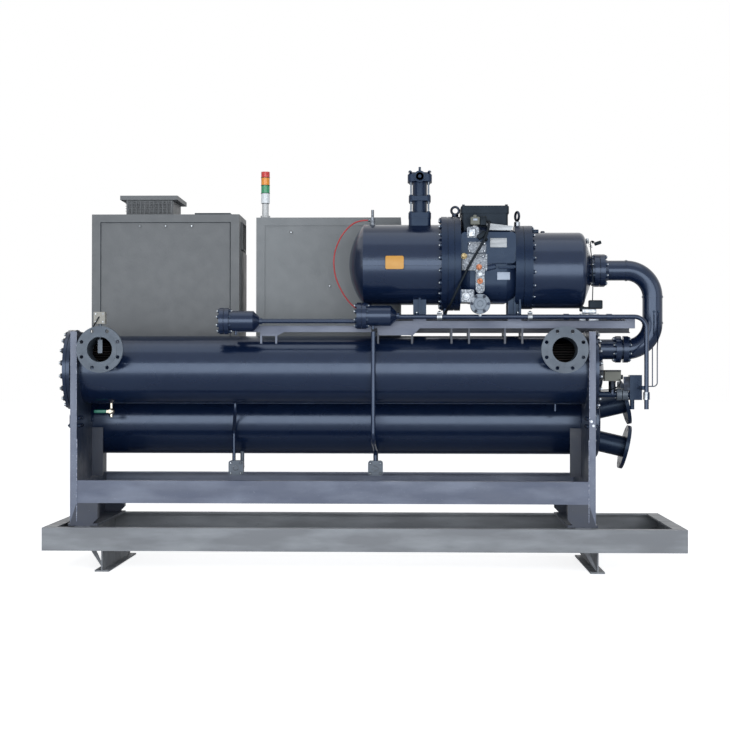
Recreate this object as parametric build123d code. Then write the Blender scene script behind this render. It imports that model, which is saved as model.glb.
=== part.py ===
from build123d import *
import os
from math import asin, cos, radians, sin, sqrt, tan

os.makedirs("parts", exist_ok=True)

# Water-cooled screw chiller on a steel tray, in millimetres.
# +X runs along the vessels to the suction end, -Y faces the water flanges, +Z is up.

# Tray and base beams
tray_length = 3900
tray_depth = 1200
tray_height = 140
tray_flange = 60
tray_end_flange = 80
tray_web = 8
tray_lip = 10
base_height = 140
base_width = 88
base_web = 8
base_lip = 10
base_length = 970
base_inset_left = 345
base_inset_right = 525
brace_width = 35
brace_foot = 20
brace_thickness = 8
brace_run = 85
brace_setback = 60
cross_width = 90
cross_inset = 40
anchor_offset = 27
anchor_inset = 30
anchor_radius = 9

# Chiller frame
frame_inset_left = 188
frame_inset_right = 578
frame_depth = 970
plate_thickness = 12
post_flange = 40
foot_plate_thickness = 16
foot_plate_reach = 12
foot_block_length = 130
foot_block_depth = 60
foot_block_corner = 30
rail_lift = 125
rail_height = 138
rail_flange = 58
rail_web = 8
rail_lip = 9
lower_frame_height = 625
upper_frame_rise = 233
upper_frame_rear = 40
rib_width = 70
rib_thickness = 16
rib_gap = 36
plate_clearance = 4

# Pressure vessels
shell_radius = 213
shell_wall = 10
evap_y = -200
evap_rise = 335
evap_reach_left = 100
evap_reach_right = 66
evap_flange_over = 37
evap_flange_thickness = 45
evap_seam = 4
seam_depth = 6
dish_inset = 8
evap_dish_left = 44
evap_dish_right = 52
nipple_radius = 9
nipple_drop = 44
nipple_inset = 181
cond_y = 215
cond_rise = 2
cond_flange_over = 57
cond_flange_thickness = 30
cond_box_over = 19
cond_box_left = 60
cond_box_right = 52
cond_box_corner = 16
tube_radius = 6.5
tube_pitch = 16
bundle_gap = 27

# Water connections, DN150
water_flange_radius = 142.5
water_flange_thickness = 24
water_face_radius = 105.5
water_face_height = 3
water_bore_radius = 77
water_pipe_radius = 84
water_bolt_circle = 240
water_bolt_radius = 11.5
water_bolt_count = 8
nozzle_inset = 152
nozzle_rise = 122
nozzle_reach = 348
cond_nozzle_radius = 67
cond_nozzle_wall = 5
cond_nozzle_tilt = 13
cond_nozzle_offset = 103
cond_nozzle_drop = 20
cond_nozzle_length = 196

# Flow switch on the left water connection
switch_width = 69
switch_depth = 60
switch_height = 73
switch_neck = 73
switch_stem_radius = 12
switch_reach = 63
switch_offset = 8
paddle_width = 28
paddle_length = 82
paddle_thickness = 4
paddle_drop = 22
paddle_rod_radius = 4

# Drain valve under the evaporator
drain_offset = 8
drain_drop = 263
drain_ball_radius = 22
drain_body_radius = 12
drain_tail = 36
drain_stem_radius = 9
drain_stem_reach = 42
lever_length = 100
lever_width = 16
lever_thickness = 4
lever_hub_radius = 12
lever_hub_height = 6
lever_gap = 2

# Compressor, its stations counted back from the end beside the evaporator's head
comp_setback = 30
bell_length = 372
bell_cylinder = 295
bell_shoulder = 38
bell_shoulder_radius = 201
bell_nose_radius = 94
bell_radius = 237
bell_rise = 319
motor_flange_length = 106
motor_flange_radius = 261
motor_flange_rise = 338
casing_length = 336
casing_half_width = 232
casing_half_height = 236
casing_corner = 125
casing_neck = 208
casing_rise = 349
sep_flange_length = 118
sep_flange_radius = 294
sep_flange_rise = 362
sep_length = 576
sep_radius = 251
sep_dish = 92
sep_rise = 355
flange_groove = 4
groove_depth = 7
sep_band_height = 31
sep_band_reach = 12
sep_band_drop = 4

# Castings on the compressor's front, (x, z) counted from the casing's start and axis
cover_reach = 240
cover_height = 191
cover_corner = 24
column_width = 54
column_height = 178
column_place = (117, -94)
column_reach = 252
oil_cover_radius = 62
oil_cover_thickness = 18
oil_barrel_radius = 54
oil_cover_place = (118, -248)
heater_radius = 14
heater_length = 42
pad_places = [((41, -45), (119, 101)), ((43, 63), (110, 67)), ((-5, -238), (85, 77)), ((37, 157), (73, 65))]
pad_reach = 248
pad_corner = 8
casing_rib_height = 14
casing_rib_length = 105

# Terminal box on top of the casing
terminal_length = 285
terminal_depth = 300
terminal_top = 316
terminal_body = 149
terminal_start = 8
terminal_corner = 18
terminal_lid = 47
terminal_lip = 6

# Discharge valve on the separator
valve_x = 442
valve_flange = 138
valve_flange_corner = 28
valve_flange_thickness = 32
valve_seat_height = 40
valve_lower_neck = 75
valve_middle = 29
valve_upper_neck = 92
valve_bonnet = 152
valve_bonnet_height = 57
valve_bonnet_chamfer = 16
valve_body_radius = 46
valve_stem_radius = 8
valve_stem_height = 39
valve_cap_radius = 26
valve_cap_reach = 92
valve_ring_radius = 36

# Service valve and lower socket on the separator
service_radius = 17
service_height = 95
service_body = 43
service_x = 146
port_radius = 9
socket_x = 124
socket_drop = 48

# Suction line
suction_radius = 62.5
suction_bend = 165
suction_reach = 358
suction_neck = 21
suction_neck_radius = 88
suction_flange_radius = 102
suction_flange_thickness = 31
suction_hub = 24
suction_hub_radius = 74
weld_radius = 66
weld_width = 12
return_rise = 130
return_flange_radius = 83
return_flange_thickness = 32
return_flange_gap = 14
return_flange_reach = 126
return_stub = 30

# Rails, brackets and feet above the evaporator
comp_rail_lift = 258
comp_rail_height = 46
comp_rail_depth = 40
comp_rail_wall = 6
comp_rail_spread = 138
comp_rail_length = 1628
comp_rail_over = 231
rail_pad_height = 20
rear_rail_drop = 23
rail_pad_end = 60
faced_bracket = (37, 260)
open_brackets = [(492, 612), (822, 941)]
bracket_drop = 44
bracket_taper = 43
bracket_plate = 12
bracket_depth = 40
foot_width = 81
foot_depth = 44
foot_spread = 110
foot_wall = 12
filter_rail_length = 839
filter_rail_height = 39
filter_rail_drop = 24
filter_bracket = 150
filter_bracket_length = 106

# Filters and liquid line
pot_reach = 224
pot_flange_radius = 81
pot_flange_thickness = 28
pot_flange_gap = 3
pot_body_length = 148
pot_radius = 63
pot_cone = 36
pot_cone_radius = 26
pot_tail = 18
pot_tail_radius = 20
pot_spacing = 845
pot_setback = 85
pot_left_rise = 299
pot_right_rise = 332
pipe_sag = 6
pot_shoe = (40, 50, 20)
pot_stub_radius = 8
pot_stub_x = 99
pot_stub_drop = 84
pipe_radius = 14
pipe_bend = 75
pipe_setback = 69
pipe_end = 135
union_radius = 20
union_height = 46
cap_radius = 14
cap_height = 59
coupling_radius = 18
coupling_length = 34
coupling_places = [1196, 1458]

# Oil tubes and their angle valves
oil_left_inset = 918
oil_left_lean = 26
oil_left_drop = 47
oil_left_bend = 177
oil_right_inset = 16
oil_right_gap = 19
oil_right_shift = 5
oil_right_drop = 24
oil_right_bend = 227
oil_right_turn = 297
oil_left_radius = 11
oil_right_radius = 14
oil_bends = (60, 40)
oil_sink = 12
oil_valve_y = -30
oil_valve_size = 94
oil_valve_corner = 16
oil_valve_depth = 60
oil_valve_lift = 8
oil_left_valve_shift = 15
oil_left_riser_shift = 20
oil_arm_radius = 15
oil_riser_radius = 13
oil_arm_length = 175

# Expansion valve at the suction end
exp_drop = 151
exp_pipe_radius = 20
exp_flange_radius = 37
exp_flange_thickness = 31
exp_flange_gap = 5
exp_flange_reach = 134
exp_head = (100, 90, 69)
exp_head_reach = 57
exp_head_rise = 83
exp_neck_radius = 22
exp_body = (75, 80, 156)
exp_body_reach = 213
exp_body_drop = 35
exp_link_radius = 12
exp_link_rise = 41
capillary_radius = 3.5
capillary_spread = 30
capillary_bend = 24
capillary_rise = 50

# Cabinets
cabinet_front_y = 130
cabinet_depth = 435
cabinet_drop = 60
control_over = 32
control_width = 964
control_height = 1073
cabinet_gap = 111
starter_width = 940
starter_height = 1051
door_thickness = 18
door_border = 12
panel_border = 56
panel_top = 52
panel_recess = 6
carrier_height = 48
carrier_depth = 40
carrier_wall = 6
carrier_plate = 12
carrier_arm = 42
carrier_arm_width = 180
carrier_count = 4
vent_inset = 216
vent_width = 306
vent_depth = 360
vent_setback = 55
vent_height = 97
vent_cap_over = 35
vent_cap_height = 28
vent_slot_count = 11
vent_slot = (10, 62)
vent_slot_depth = 6
cover_inset = 666
cover_width = 234
cover_depth = 300
cover_thickness = 14
stack_inset = 53
stack_setback = 70
stack_tiers = [(17, 32), (82, 22), (64, 28.5), (3, 25), (49, 28.5), (3, 25), (48, 28.5), (3, 25), (36, 28.5)]

# Cables, their routes counted from the separator's left end and axis
red_cable_radius = 4.5
red_cable_route = [
    (118, 0, 281), (62, 0, 281), (0, 0, 246), (-60, 0, 172), (-100, 0, 60), (-94, 0, -60),
    (-55, 0, -155), (-5, 0, -232), (50, 0, -281), (104, 0, -281),
]
black_cable_radius = 8
black_cable_route = [
    (864, -150, 251), (864, -226, 251), (862, -278, 206), (838, -292, 140), (793, -290, 62),
    (750, -288, -8), (714, -285, -80), (680, -282, -150), (650, -270, -214), (626, -240, -266),
    (600, -172, -304), (600, -90, -304),
]
bend_share = 0.45


# Basic solids
def block(x0, x1, y0, y1, z0, z1):
    low_corner = (Align.MIN, Align.MIN, Align.MIN)
    return Pos(x0, y0, z0) * Box(x1 - x0, y1 - y0, z1 - z0, align=low_corner)


def rod(plane, radius, length):
    return plane * Cylinder(radius, length, align=(Align.CENTER, Align.CENTER, Align.MIN))


def rod_x(x0, x1, y, z, radius):
    return rod(Plane((x0, y, z), z_dir=(1, 0, 0)), radius, x1 - x0)


def rod_y(y0, y1, x, z, radius):
    return rod(Plane((x, y0, z), z_dir=(0, 1, 0)), radius, y1 - y0)


def rod_z(z0, z1, x, y, radius):
    return rod(Plane((x, y, z0), z_dir=(0, 0, 1)), radius, z1 - z0)


def beam_x(face, x0, x1, y, z):
    """A section drawn in (Y, Z) run from x0 to x1."""
    plane = Plane((x0, y, z), x_dir=(0, 1, 0), z_dir=(1, 0, 0))
    return extrude(plane * face, amount=x1 - x0, dir=(1, 0, 0))


def beam_y(face, y0, y1, x, z):
    """A section drawn in (X, Z) run from y0 to y1."""
    plane = Plane((x, y0, z), x_dir=(1, 0, 0), z_dir=(0, -1, 0))
    return extrude(plane * face, amount=y1 - y0, dir=(0, 1, 0))


def slab(width, height, corner, y0, y1, x, z):
    """A plate with round corners that faces -Y, centred on (x, z)."""
    return beam_y(RectangleRounded(width, height, corner), y0, y1, x, z)


def outline(points):
    return make_face(Polyline(*points, close=True))


def channel(height, flange, web, lip, side=1):
    """Channel section, web's outer face at 0, flanges towards side."""
    points = [(0, 0), (flange, 0), (flange, lip), (web, lip)]
    points += [(web, height - lip), (flange, height - lip), (flange, height), (0, height)]
    return outline([(side * a, b) for a, b in points])


def i_section(height, width, web, lip):
    half = width / 2
    inner = web / 2
    right = [
        (half, 0), (half, lip), (inner, lip), (inner, height - lip), (half, height - lip), (half, height),
    ]
    left = [(-a, b) for a, b in reversed(right)]
    return outline(right + left)


def profile_of(steps):
    """Outline points of (length, radius) or (length, first radius, last radius) steps."""
    points = [(0, 0)]
    place = 0
    for length, *radii in steps:
        for point in ((place, radii[0]), (place + length, radii[-1])):
            if point != points[-1]:
                points.append(point)
        place += length
    return points + [(place, 0)]


def turned_x(x0, steps, y, z):
    plane = Plane((x0, y, z), x_dir=(1, 0, 0), z_dir=(0, -1, 0))
    return revolve(plane * outline(profile_of(steps)), axis=Axis((x0, y, z), (1, 0, 0)), revolution_arc=360)


def turned_z(z0, steps, x, y):
    plane = Plane((x, y, z0), x_dir=(0, 0, 1), z_dir=(0, 1, 0))
    return revolve(plane * outline(profile_of(steps)), axis=Axis((x, y, z0), (0, 0, 1)), revolution_arc=360)


def dished_end(x_flat, depth, radius, y, z, direction):
    """A dished head whose rim lies at x_flat and bulges by depth towards direction."""
    plane = Plane((x_flat, y, z), x_dir=(1, 0, 0), z_dir=(0, -1, 0))
    crown = (radius ** 2 + depth ** 2) / (2 * depth)
    half = asin(radius / crown) / 2
    middle = (direction * (depth - crown + crown * cos(half)), crown * sin(half))
    arc = ThreePointArc((0, radius), middle, (direction * depth, 0))
    edge = Polyline((direction * depth, 0), (0, 0), (0, radius))
    return revolve(plane * make_face([arc, edge]), axis=Axis((x_flat, y, z), (1, 0, 0)), revolution_arc=360)


def bent_tube(points, radii, radius):
    """A round tube along straight runs joined by tangent arcs."""
    path = FilletPolyline(*points, radius=radii)
    start = Plane(origin=path @ 0, z_dir=path % 0)
    return sweep(start * Circle(radius), path=path)


def cable(route, radius, origin):
    """A cable whose bends each take up the same share of the shorter run beside them."""
    points = [Vector(*origin) + Vector(*point) for point in route]
    radii = []
    for before, corner, after in zip(points, points[1:], points[2:]):
        turn = (corner - before).get_angle(after - corner)
        shorter = min((corner - before).length, (after - corner).length)
        radii.append(bend_share * shorter / tan(radians(turn) / 2))
    print("cable bends", [round(value) for value in radii])
    return bent_tube(points, radii, radius)


# Levels and places that follow from the sizes above
tray_bottom = base_height
tray_top = tray_bottom + tray_height
foot_top = tray_top + foot_plate_thickness
rail_bottom = foot_top + rail_lift
rail_top = rail_bottom + rail_height
splice_z = tray_top + lower_frame_height
frame_left = frame_inset_left - tray_length / 2
frame_right = tray_length / 2 - frame_inset_right
frame_front = -frame_depth / 2
frame_back = frame_depth / 2
plate_left = frame_left - plate_thickness
plate_right = frame_right + plate_thickness

evap_z = splice_z + evap_rise
evap_left = frame_left - evap_reach_left
evap_right = frame_right + evap_reach_right
evap_flange_radius = shell_radius + evap_flange_over
cond_z = splice_z + cond_rise
cond_flange_radius = shell_radius + cond_flange_over
cond_box_radius = shell_radius + cond_box_over
bundle_radius = shell_radius - shell_wall - bundle_gap
nozzle_left_x = frame_left + nozzle_inset
nozzle_right_x = frame_right - nozzle_inset
nozzle_z = evap_z + nozzle_rise
nozzle_face_y = evap_y - nozzle_reach
nozzle_back_y = nozzle_face_y + water_face_height

comp_rail_right = evap_right + comp_rail_over
comp_rail_left = comp_rail_right - comp_rail_length
comp_rail_bottom = evap_z + comp_rail_lift
comp_rail_top = comp_rail_bottom + comp_rail_height
filter_rail_bottom = comp_rail_bottom - filter_rail_drop
comp_rail_front_y = evap_y - comp_rail_spread
comp_rail_rear_y = evap_y + comp_rail_spread
rail_pad_top = comp_rail_top + rail_pad_height
rear_rail_bottom = comp_rail_bottom - rear_rail_drop
upper_frame_top = evap_z + upper_frame_rise

bell_end = evap_right - comp_setback
motor_start = bell_end - bell_length
casing_end = motor_start - motor_flange_length
casing_start = casing_end - casing_length
sep_right = casing_start - sep_flange_length
sep_left = sep_right - sep_length
sep_z = comp_rail_top + sep_rise
sep_flange_z = comp_rail_top + sep_flange_rise
casing_z = comp_rail_top + casing_rise
motor_flange_z = comp_rail_top + motor_flange_rise
bell_z = comp_rail_top + bell_rise
suction_x = evap_right + suction_reach
suction_flange_start = bell_end + suction_neck
return_z = evap_z + return_rise

pot_y = evap_y - pot_reach
pot_right_x = comp_rail_left - pot_setback
pot_left_x = pot_right_x - pot_spacing
pot_length = 2 * pot_flange_thickness + pot_flange_gap + pot_body_length + pot_cone + pot_tail
pipe_drop_x = suction_x - pipe_setback
exp_z = evap_z - exp_drop

cabinet_rear_y = cabinet_front_y + cabinet_depth
cabinet_bottom = evap_z - cabinet_drop
control_left = frame_left - control_over
control_right = control_left + control_width
control_top = cabinet_bottom + control_height
starter_left = control_right + cabinet_gap
starter_right = starter_left + starter_width
starter_top = cabinet_bottom + starter_height
carrier_bottom = cabinet_bottom - carrier_height


# Base beams and tray
def base_beam(x):
    section = i_section(base_height, base_width, base_web, base_lip)
    beam = beam_y(section, -base_length / 2, base_length / 2, x, 0)
    anchor_y = base_length / 2 - anchor_inset
    for y in (-anchor_y, anchor_y):
        beam -= rod_z(0, base_lip, x + anchor_offset, y, anchor_radius)
    web_face = x - base_web / 2
    top = web_face - brace_run
    strip = [
        (top, base_height), (top + brace_width, base_height),
        (web_face, base_lip + brace_foot), (web_face, base_lip),
    ]
    start = brace_setback - base_length / 2
    for y in (start, -start - brace_thickness):
        beam += beam_y(outline(strip), y, y + brace_thickness, 0, 0)
    return beam


def tray_long_beam(side):
    section = channel(tray_height, tray_flange, tray_web, tray_lip, -side)
    return beam_x(section, -tray_length / 2, tray_length / 2, side * tray_depth / 2, tray_bottom)


def between_long_beams(section, x):
    inner = tray_depth / 2 - tray_web
    return beam_y(section, -inner, inner, x, tray_bottom) - tray_long_beam(1) - tray_long_beam(-1)


def tray_end_beam(side):
    face = channel(tray_height, tray_end_flange, tray_web, tray_lip, -side)
    return between_long_beams(face, side * tray_length / 2)


def tray_cross_beam(x):
    return between_long_beams(i_section(tray_height, cross_width, tray_web, tray_lip), x)


# Chiller frame
def end_frame(side):
    inner = frame_left if side < 0 else frame_right
    outer = inner + side * plate_thickness
    edge = inner + side * post_flange
    body = block(*sorted((inner, outer)), frame_front, frame_back, foot_top, splice_z)
    flange = sorted((inner, edge))
    body += block(*flange, frame_front, frame_front + plate_thickness, foot_top, splice_z)
    body += block(*flange, frame_back - plate_thickness, frame_back, foot_top, splice_z)
    body += block(*flange, frame_front, 0, splice_z - plate_thickness, splice_z)
    rib = sorted((inner, inner - side * rib_width))
    body += block(*rib, -rib_thickness / 2, rib_thickness / 2, rail_top, splice_z - rib_gap)
    foot = sorted((inner - side * foot_block_length, edge + side * foot_plate_reach))
    body += block(*foot, frame_front, frame_back, tray_top, foot_top)
    shoe = outline([
        (inner, foot_top), (inner - side * (foot_block_length - foot_block_corner), foot_top),
        (inner - side * foot_block_length, foot_top + foot_block_corner),
        (inner - side * foot_block_length, rail_bottom), (inner, rail_bottom),
    ])
    for y in (frame_front, frame_back - foot_block_depth):
        body += beam_y(shoe, y, y + foot_block_depth, 0, 0)
    hole = sorted((outer, edge + side))
    body -= rod_x(*hole, cond_y, cond_z, cond_flange_radius + plate_clearance)
    return body - rod_x(plate_left, plate_right, cond_y, cond_z, shell_radius)


def upper_frame(side):
    inner = frame_left if side < 0 else frame_right
    outer = inner + side * plate_thickness
    flange = sorted((inner, inner + side * post_flange))
    body = block(*sorted((inner, outer)), frame_front, upper_frame_rear, splice_z, upper_frame_top)
    body += block(*flange, frame_front, frame_front + plate_thickness, splice_z, upper_frame_top)
    body += block(*flange, frame_front, 0, splice_z, splice_z + plate_thickness)
    body -= rod_x(evap_left, evap_right, evap_y, evap_z, shell_radius)
    face = evap_left if side < 0 else evap_right
    head = sorted((face, face - side * (evap_flange_thickness + plate_clearance)))
    body -= rod_x(*head, evap_y, evap_z, evap_flange_radius + plate_clearance)
    return body - rod_x(evap_left, evap_right, cond_y, cond_z, cond_flange_radius + plate_clearance)


def lower_rail(side):
    section = channel(rail_height, rail_flange, rail_web, rail_lip, -side)
    return beam_x(section, frame_left, frame_right, side * frame_depth / 2, rail_bottom)


# Condenser, closed and solid inside
def condenser_shell():
    tube = rod_x(plate_left, plate_right, cond_y, cond_z, shell_radius)
    for start in (plate_left - cond_flange_thickness, plate_right):
        tube += rod_x(start, start + cond_flange_thickness, cond_y, cond_z, cond_flange_radius)
    return tube


def condenser_box(side, depth):
    plate = plate_left if side < 0 else plate_right
    start = plate + side * cond_flange_thickness
    middle = start + side * cond_flange_thickness
    face = middle + side * depth
    body = rod_x(*sorted((start, middle)), cond_y, cond_z, cond_flange_radius)
    drum = rod_x(*sorted((middle, face)), cond_y, cond_z, cond_box_radius)
    rim = drum.edges().filter_by(GeomType.CIRCLE).group_by(Axis.X)[0 if side < 0 else -1]
    return body + fillet(rim, cond_box_corner)


def flange_face(radius, bore, bolt_circle, bolt_radius, count):
    """Flat ring with its bolt holes straddling the centre lines."""
    face = Circle(radius) - Circle(bore)
    return face - PolarLocations(bolt_circle / 2, count, 180 / count) * Circle(bolt_radius)


def condenser_nozzle(sign):
    start_x = plate_right + 2 * cond_flange_thickness + cond_box_right
    z = cond_z - cond_nozzle_drop + sign * cond_nozzle_offset
    tilt = radians(cond_nozzle_tilt)
    root = Plane((start_x, cond_y, z), z_dir=(cos(tilt), 0, sign * sin(tilt)))
    sunk = cond_nozzle_radius * tan(tilt)
    bore_radius = cond_nozzle_radius - cond_nozzle_wall
    pipe = rod(root.offset(-sunk), cond_nozzle_radius, cond_nozzle_length + sunk)
    ring_face = flange_face(
        water_flange_radius, bore_radius, water_bolt_circle, water_bolt_radius, water_bolt_count
    )
    ring = extrude(root.offset(cond_nozzle_length) * ring_face, amount=-water_flange_thickness)
    bore = rod(root.offset(sunk), bore_radius, cond_nozzle_length)
    reach = cond_box_radius
    behind = block(start_x - reach, start_x, cond_y - reach, cond_y + reach, cond_z - reach, cond_z + reach)
    return pipe + ring - bore - behind


# Evaporator
def evaporator_shell():
    start = evap_left + evap_flange_thickness
    end = evap_right - evap_flange_thickness
    tube = rod_x(start, end, evap_y, evap_z, shell_radius)
    bottom = evap_z - shell_radius
    nipple_x = frame_right - nipple_inset
    tube += rod_z(bottom - nipple_drop, bottom + shell_wall, nipple_x, evap_y, nipple_radius)
    tube -= rod_x(start, end, evap_y, evap_z, shell_radius - shell_wall)
    for x in (nozzle_left_x, nozzle_right_x):
        tube -= rod_y(nozzle_face_y, evap_y, x, nozzle_z, water_pipe_radius)
    return tube


def evaporator_head(side, depth):
    face = evap_left if side < 0 else evap_right
    half = (evap_flange_thickness - evap_seam) / 2
    steps = [
        (half, evap_flange_radius), (evap_seam, evap_flange_radius - seam_depth), (half, evap_flange_radius),
    ]
    start = face if side < 0 else face - evap_flange_thickness
    flange = turned_x(start, steps, evap_y, evap_z)
    return flange + dished_end(face, depth, shell_radius - dish_inset, evap_y, evap_z, side)


def evaporator_tubes():
    rows = int((bundle_radius - 2 * tube_radius) // tube_pitch)
    face = Rectangle(bundle_radius, 2 * rows * tube_pitch)
    for row in range(-rows, rows + 1):
        z = row * tube_pitch
        half = sqrt(bundle_radius ** 2 - z ** 2)
        face += Pos(0, z) * SlotOverall(2 * half, 2 * tube_radius)
    start = evap_left + evap_flange_thickness
    return beam_x(face, start, evap_right - evap_flange_thickness, evap_y, evap_z)


def water_nozzle(x):
    plane = Plane((x, nozzle_back_y, nozzle_z), x_dir=(1, 0, 0), z_dir=(0, -1, 0))
    ring_face = flange_face(
        water_flange_radius, water_bore_radius, water_bolt_circle, water_bolt_radius, water_bolt_count
    )
    ring = extrude(plane * ring_face, amount=-water_flange_thickness)
    ring += extrude(plane * (Circle(water_face_radius) - Circle(water_bore_radius)), amount=water_face_height)
    pipe = rod_y(nozzle_back_y, evap_y, x, nozzle_z, water_pipe_radius)
    pipe -= rod_y(nozzle_face_y, evap_y, x, nozzle_z, water_bore_radius)
    reach = water_flange_radius
    return pipe - rod_x(x - reach, x + reach, evap_y, evap_z, shell_radius - shell_wall) + ring


def flow_switch():
    x = nozzle_left_x - switch_offset
    y = nozzle_face_y + switch_reach
    pipe_top = nozzle_z + water_pipe_radius
    bottom = pipe_top + switch_neck
    body = block(
        x - switch_width / 2, x + switch_width / 2, y - switch_depth / 2, y + switch_depth / 2,
        bottom, bottom + switch_height,
    )
    body += rod_z(pipe_top - switch_stem_radius, bottom, x, y, switch_stem_radius)
    paddle_bottom = nozzle_z - paddle_drop
    paddle_top = paddle_bottom + paddle_length
    paddle = block(
        x - paddle_width / 2, x + paddle_width / 2, y - paddle_thickness / 2, y + paddle_thickness / 2,
        paddle_bottom, paddle_top,
    )
    rod_end = rod_z(paddle_top, pipe_top - switch_stem_radius, x, y, paddle_rod_radius)
    return body + paddle + rod_end - water_nozzle(nozzle_left_x)


# Drain valve under the evaporator
drain_x = nozzle_left_x + drain_offset
drain_z = evap_z - drain_drop
lever_face_y = evap_y - drain_stem_reach


def drain_valve_body():
    body = rod_z(drain_z - drain_tail, evap_z, drain_x, evap_y, drain_body_radius)
    body += Pos(drain_x, evap_y, drain_z) * Sphere(drain_ball_radius)
    body += rod_y(lever_face_y + lever_gap, evap_y, drain_x, drain_z, drain_stem_radius)
    body -= rod_z(drain_z - drain_tail, drain_z - drain_ball_radius, drain_x, evap_y, drain_stem_radius)
    return body - rod_x(evap_left, evap_right, evap_y, evap_z, shell_radius)


def drain_lever():
    hub = rod_y(lever_face_y - lever_hub_height, lever_face_y, drain_x, drain_z, lever_hub_radius)
    front = lever_face_y - lever_hub_height / 2 - lever_thickness / 2
    half = lever_width / 2
    arm = block(drain_x - lever_length, drain_x, front, front + lever_thickness, drain_z - half, drain_z + half)
    return hub + arm


# Compressor
def separator_point(offset):
    dx, dy, dz = offset
    return sep_left + dx, evap_y + dy, sep_z + dz


def separator_body():
    tangent = sep_left + sep_dish
    return rod_x(tangent, sep_right, evap_y, sep_z, sep_radius) + dished_end(
        tangent, sep_dish, sep_radius, evap_y, sep_z, -1
    )


def oil_separator():
    body = separator_body()
    front = evap_y - sep_radius
    middle = sep_z - sep_band_drop
    band = block(
        sep_left + sep_dish, sep_right, front - sep_band_reach, evap_y,
        middle - sep_band_height / 2, middle + sep_band_height / 2,
    )
    socket = rod_z(sep_z - sep_radius - socket_drop, sep_z, sep_left + socket_x, evap_y, service_radius)
    port_x, _, port_z = separator_point(red_cable_route[-1])
    port = rod_x(port_x, sep_left + socket_x, evap_y, port_z, port_radius)
    return body + band + socket + port


def service_valve():
    x = sep_left + service_x
    base = sep_z + sep_radius
    valve = rod_z(sep_z, base + service_body, x, evap_y, service_radius)
    valve += rod_z(base, base + service_height, x, evap_y, port_radius)
    port_x, _, port_z = separator_point(red_cable_route[0])
    valve += rod_x(port_x, x, evap_y, port_z, port_radius)
    return valve - separator_body()


def square_flange(size, corner, z0, height, x):
    face = RectangleRounded(size, size, corner)
    return extrude(Plane((x, evap_y, z0)) * face, amount=height)


def discharge_valve():
    x = sep_left + valve_x
    seat_top = sep_z + sep_radius + valve_seat_height
    body = square_flange(valve_flange, valve_flange_corner, sep_z, seat_top - sep_z, x)
    lower_top = seat_top + valve_flange_thickness
    wide = valve_flange + flange_groove
    body += square_flange(wide, valve_flange_corner, seat_top, valve_flange_thickness, x)
    middle = lower_top + valve_lower_neck
    body += square_flange(valve_flange, valve_flange_corner, middle, valve_middle, x)
    bonnet = middle + valve_middle + valve_upper_neck
    body += rod_z(lower_top, bonnet, x, evap_y, valve_body_radius)
    top = square_flange(valve_bonnet, valve_flange_corner, bonnet, valve_bonnet_height, x)
    body += chamfer(top.edges().group_by(Axis.Z)[-1], valve_bonnet_chamfer)
    top_z = bonnet + valve_bonnet_height
    body += rod_z(top_z, top_z + valve_stem_height, x, evap_y, valve_stem_radius)
    cap_z = bonnet + valve_bonnet_height / 2
    body += rod_y(evap_y - valve_cap_reach, evap_y, x, cap_z, valve_cap_radius)
    body += rod_y(evap_y - valve_bonnet / 2 - valve_stem_radius, evap_y, x, cap_z, valve_ring_radius)
    return body - separator_body()


def casing_shell():
    """The rotor casing's body, waisted where it meets its flanges."""
    shoulder = casing_length / 6
    stations = [
        (0, casing_neck, casing_neck), (shoulder, casing_half_width, casing_half_height),
        (casing_length - shoulder, casing_half_width, casing_half_height),
        (casing_length, casing_neck, casing_neck),
    ]
    sections = []
    for offset, width, height in stations:
        plane = Plane((casing_start + offset, evap_y, casing_z), x_dir=(0, 1, 0), z_dir=(1, 0, 0))
        sections.append(plane * RectangleRounded(2 * width, 2 * height, casing_corner))
    return loft(sections, ruled=True)


def grooved_flange(x0, length, radius, count, z):
    """A stack of bolted flanges with a groove at each joint."""
    plate = (length - (count - 1) * flange_groove) / count
    steps = [(plate, radius)]
    for _ in range(count - 1):
        steps += [(flange_groove, radius - groove_depth), (plate, radius)]
    return turned_x(x0, steps, evap_y, z)


def compressor_casing():
    body = casing_shell()
    body += grooved_flange(sep_right, sep_flange_length, sep_flange_radius, 3, sep_flange_z)
    body += grooved_flange(casing_end, motor_flange_length, motor_flange_radius, 2, motor_flange_z)
    front = evap_y - cover_reach
    cover_x = casing_start + casing_length / 2
    cover_z = casing_z + cover_height / 2
    body += slab(casing_length, cover_height, cover_corner, front, evap_y, cover_x, cover_z)
    x, z = casing_start + column_place[0], casing_z + column_place[1]
    body += slab(column_width, column_height, cover_corner, evap_y - column_reach, evap_y, x, z)
    for (dx, dz), (width, height) in pad_places:
        place = (casing_start + dx + width / 2, casing_z + dz + height / 2)
        body += slab(width, height, pad_corner, evap_y - pad_reach, evap_y, *place)
    x, z = casing_start + oil_cover_place[0], casing_z + oil_cover_place[1]
    body += rod_y(front, evap_y, x, z, oil_barrel_radius)
    body += rod_y(front, front + oil_cover_thickness, x, z, oil_cover_radius)
    rib_x = casing_end - casing_rib_length
    rib_top = casing_z - casing_rib_height
    body += block(rib_x, casing_end, front, evap_y, rib_top - casing_rib_height, rib_top)
    x, y, z = separator_point(black_cable_route[-1])
    body += rod_y(y, y + heater_length, x, z, heater_radius)
    return body + rod_z(z, sep_flange_z, x, y + heater_length - heater_radius, heater_radius)


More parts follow.
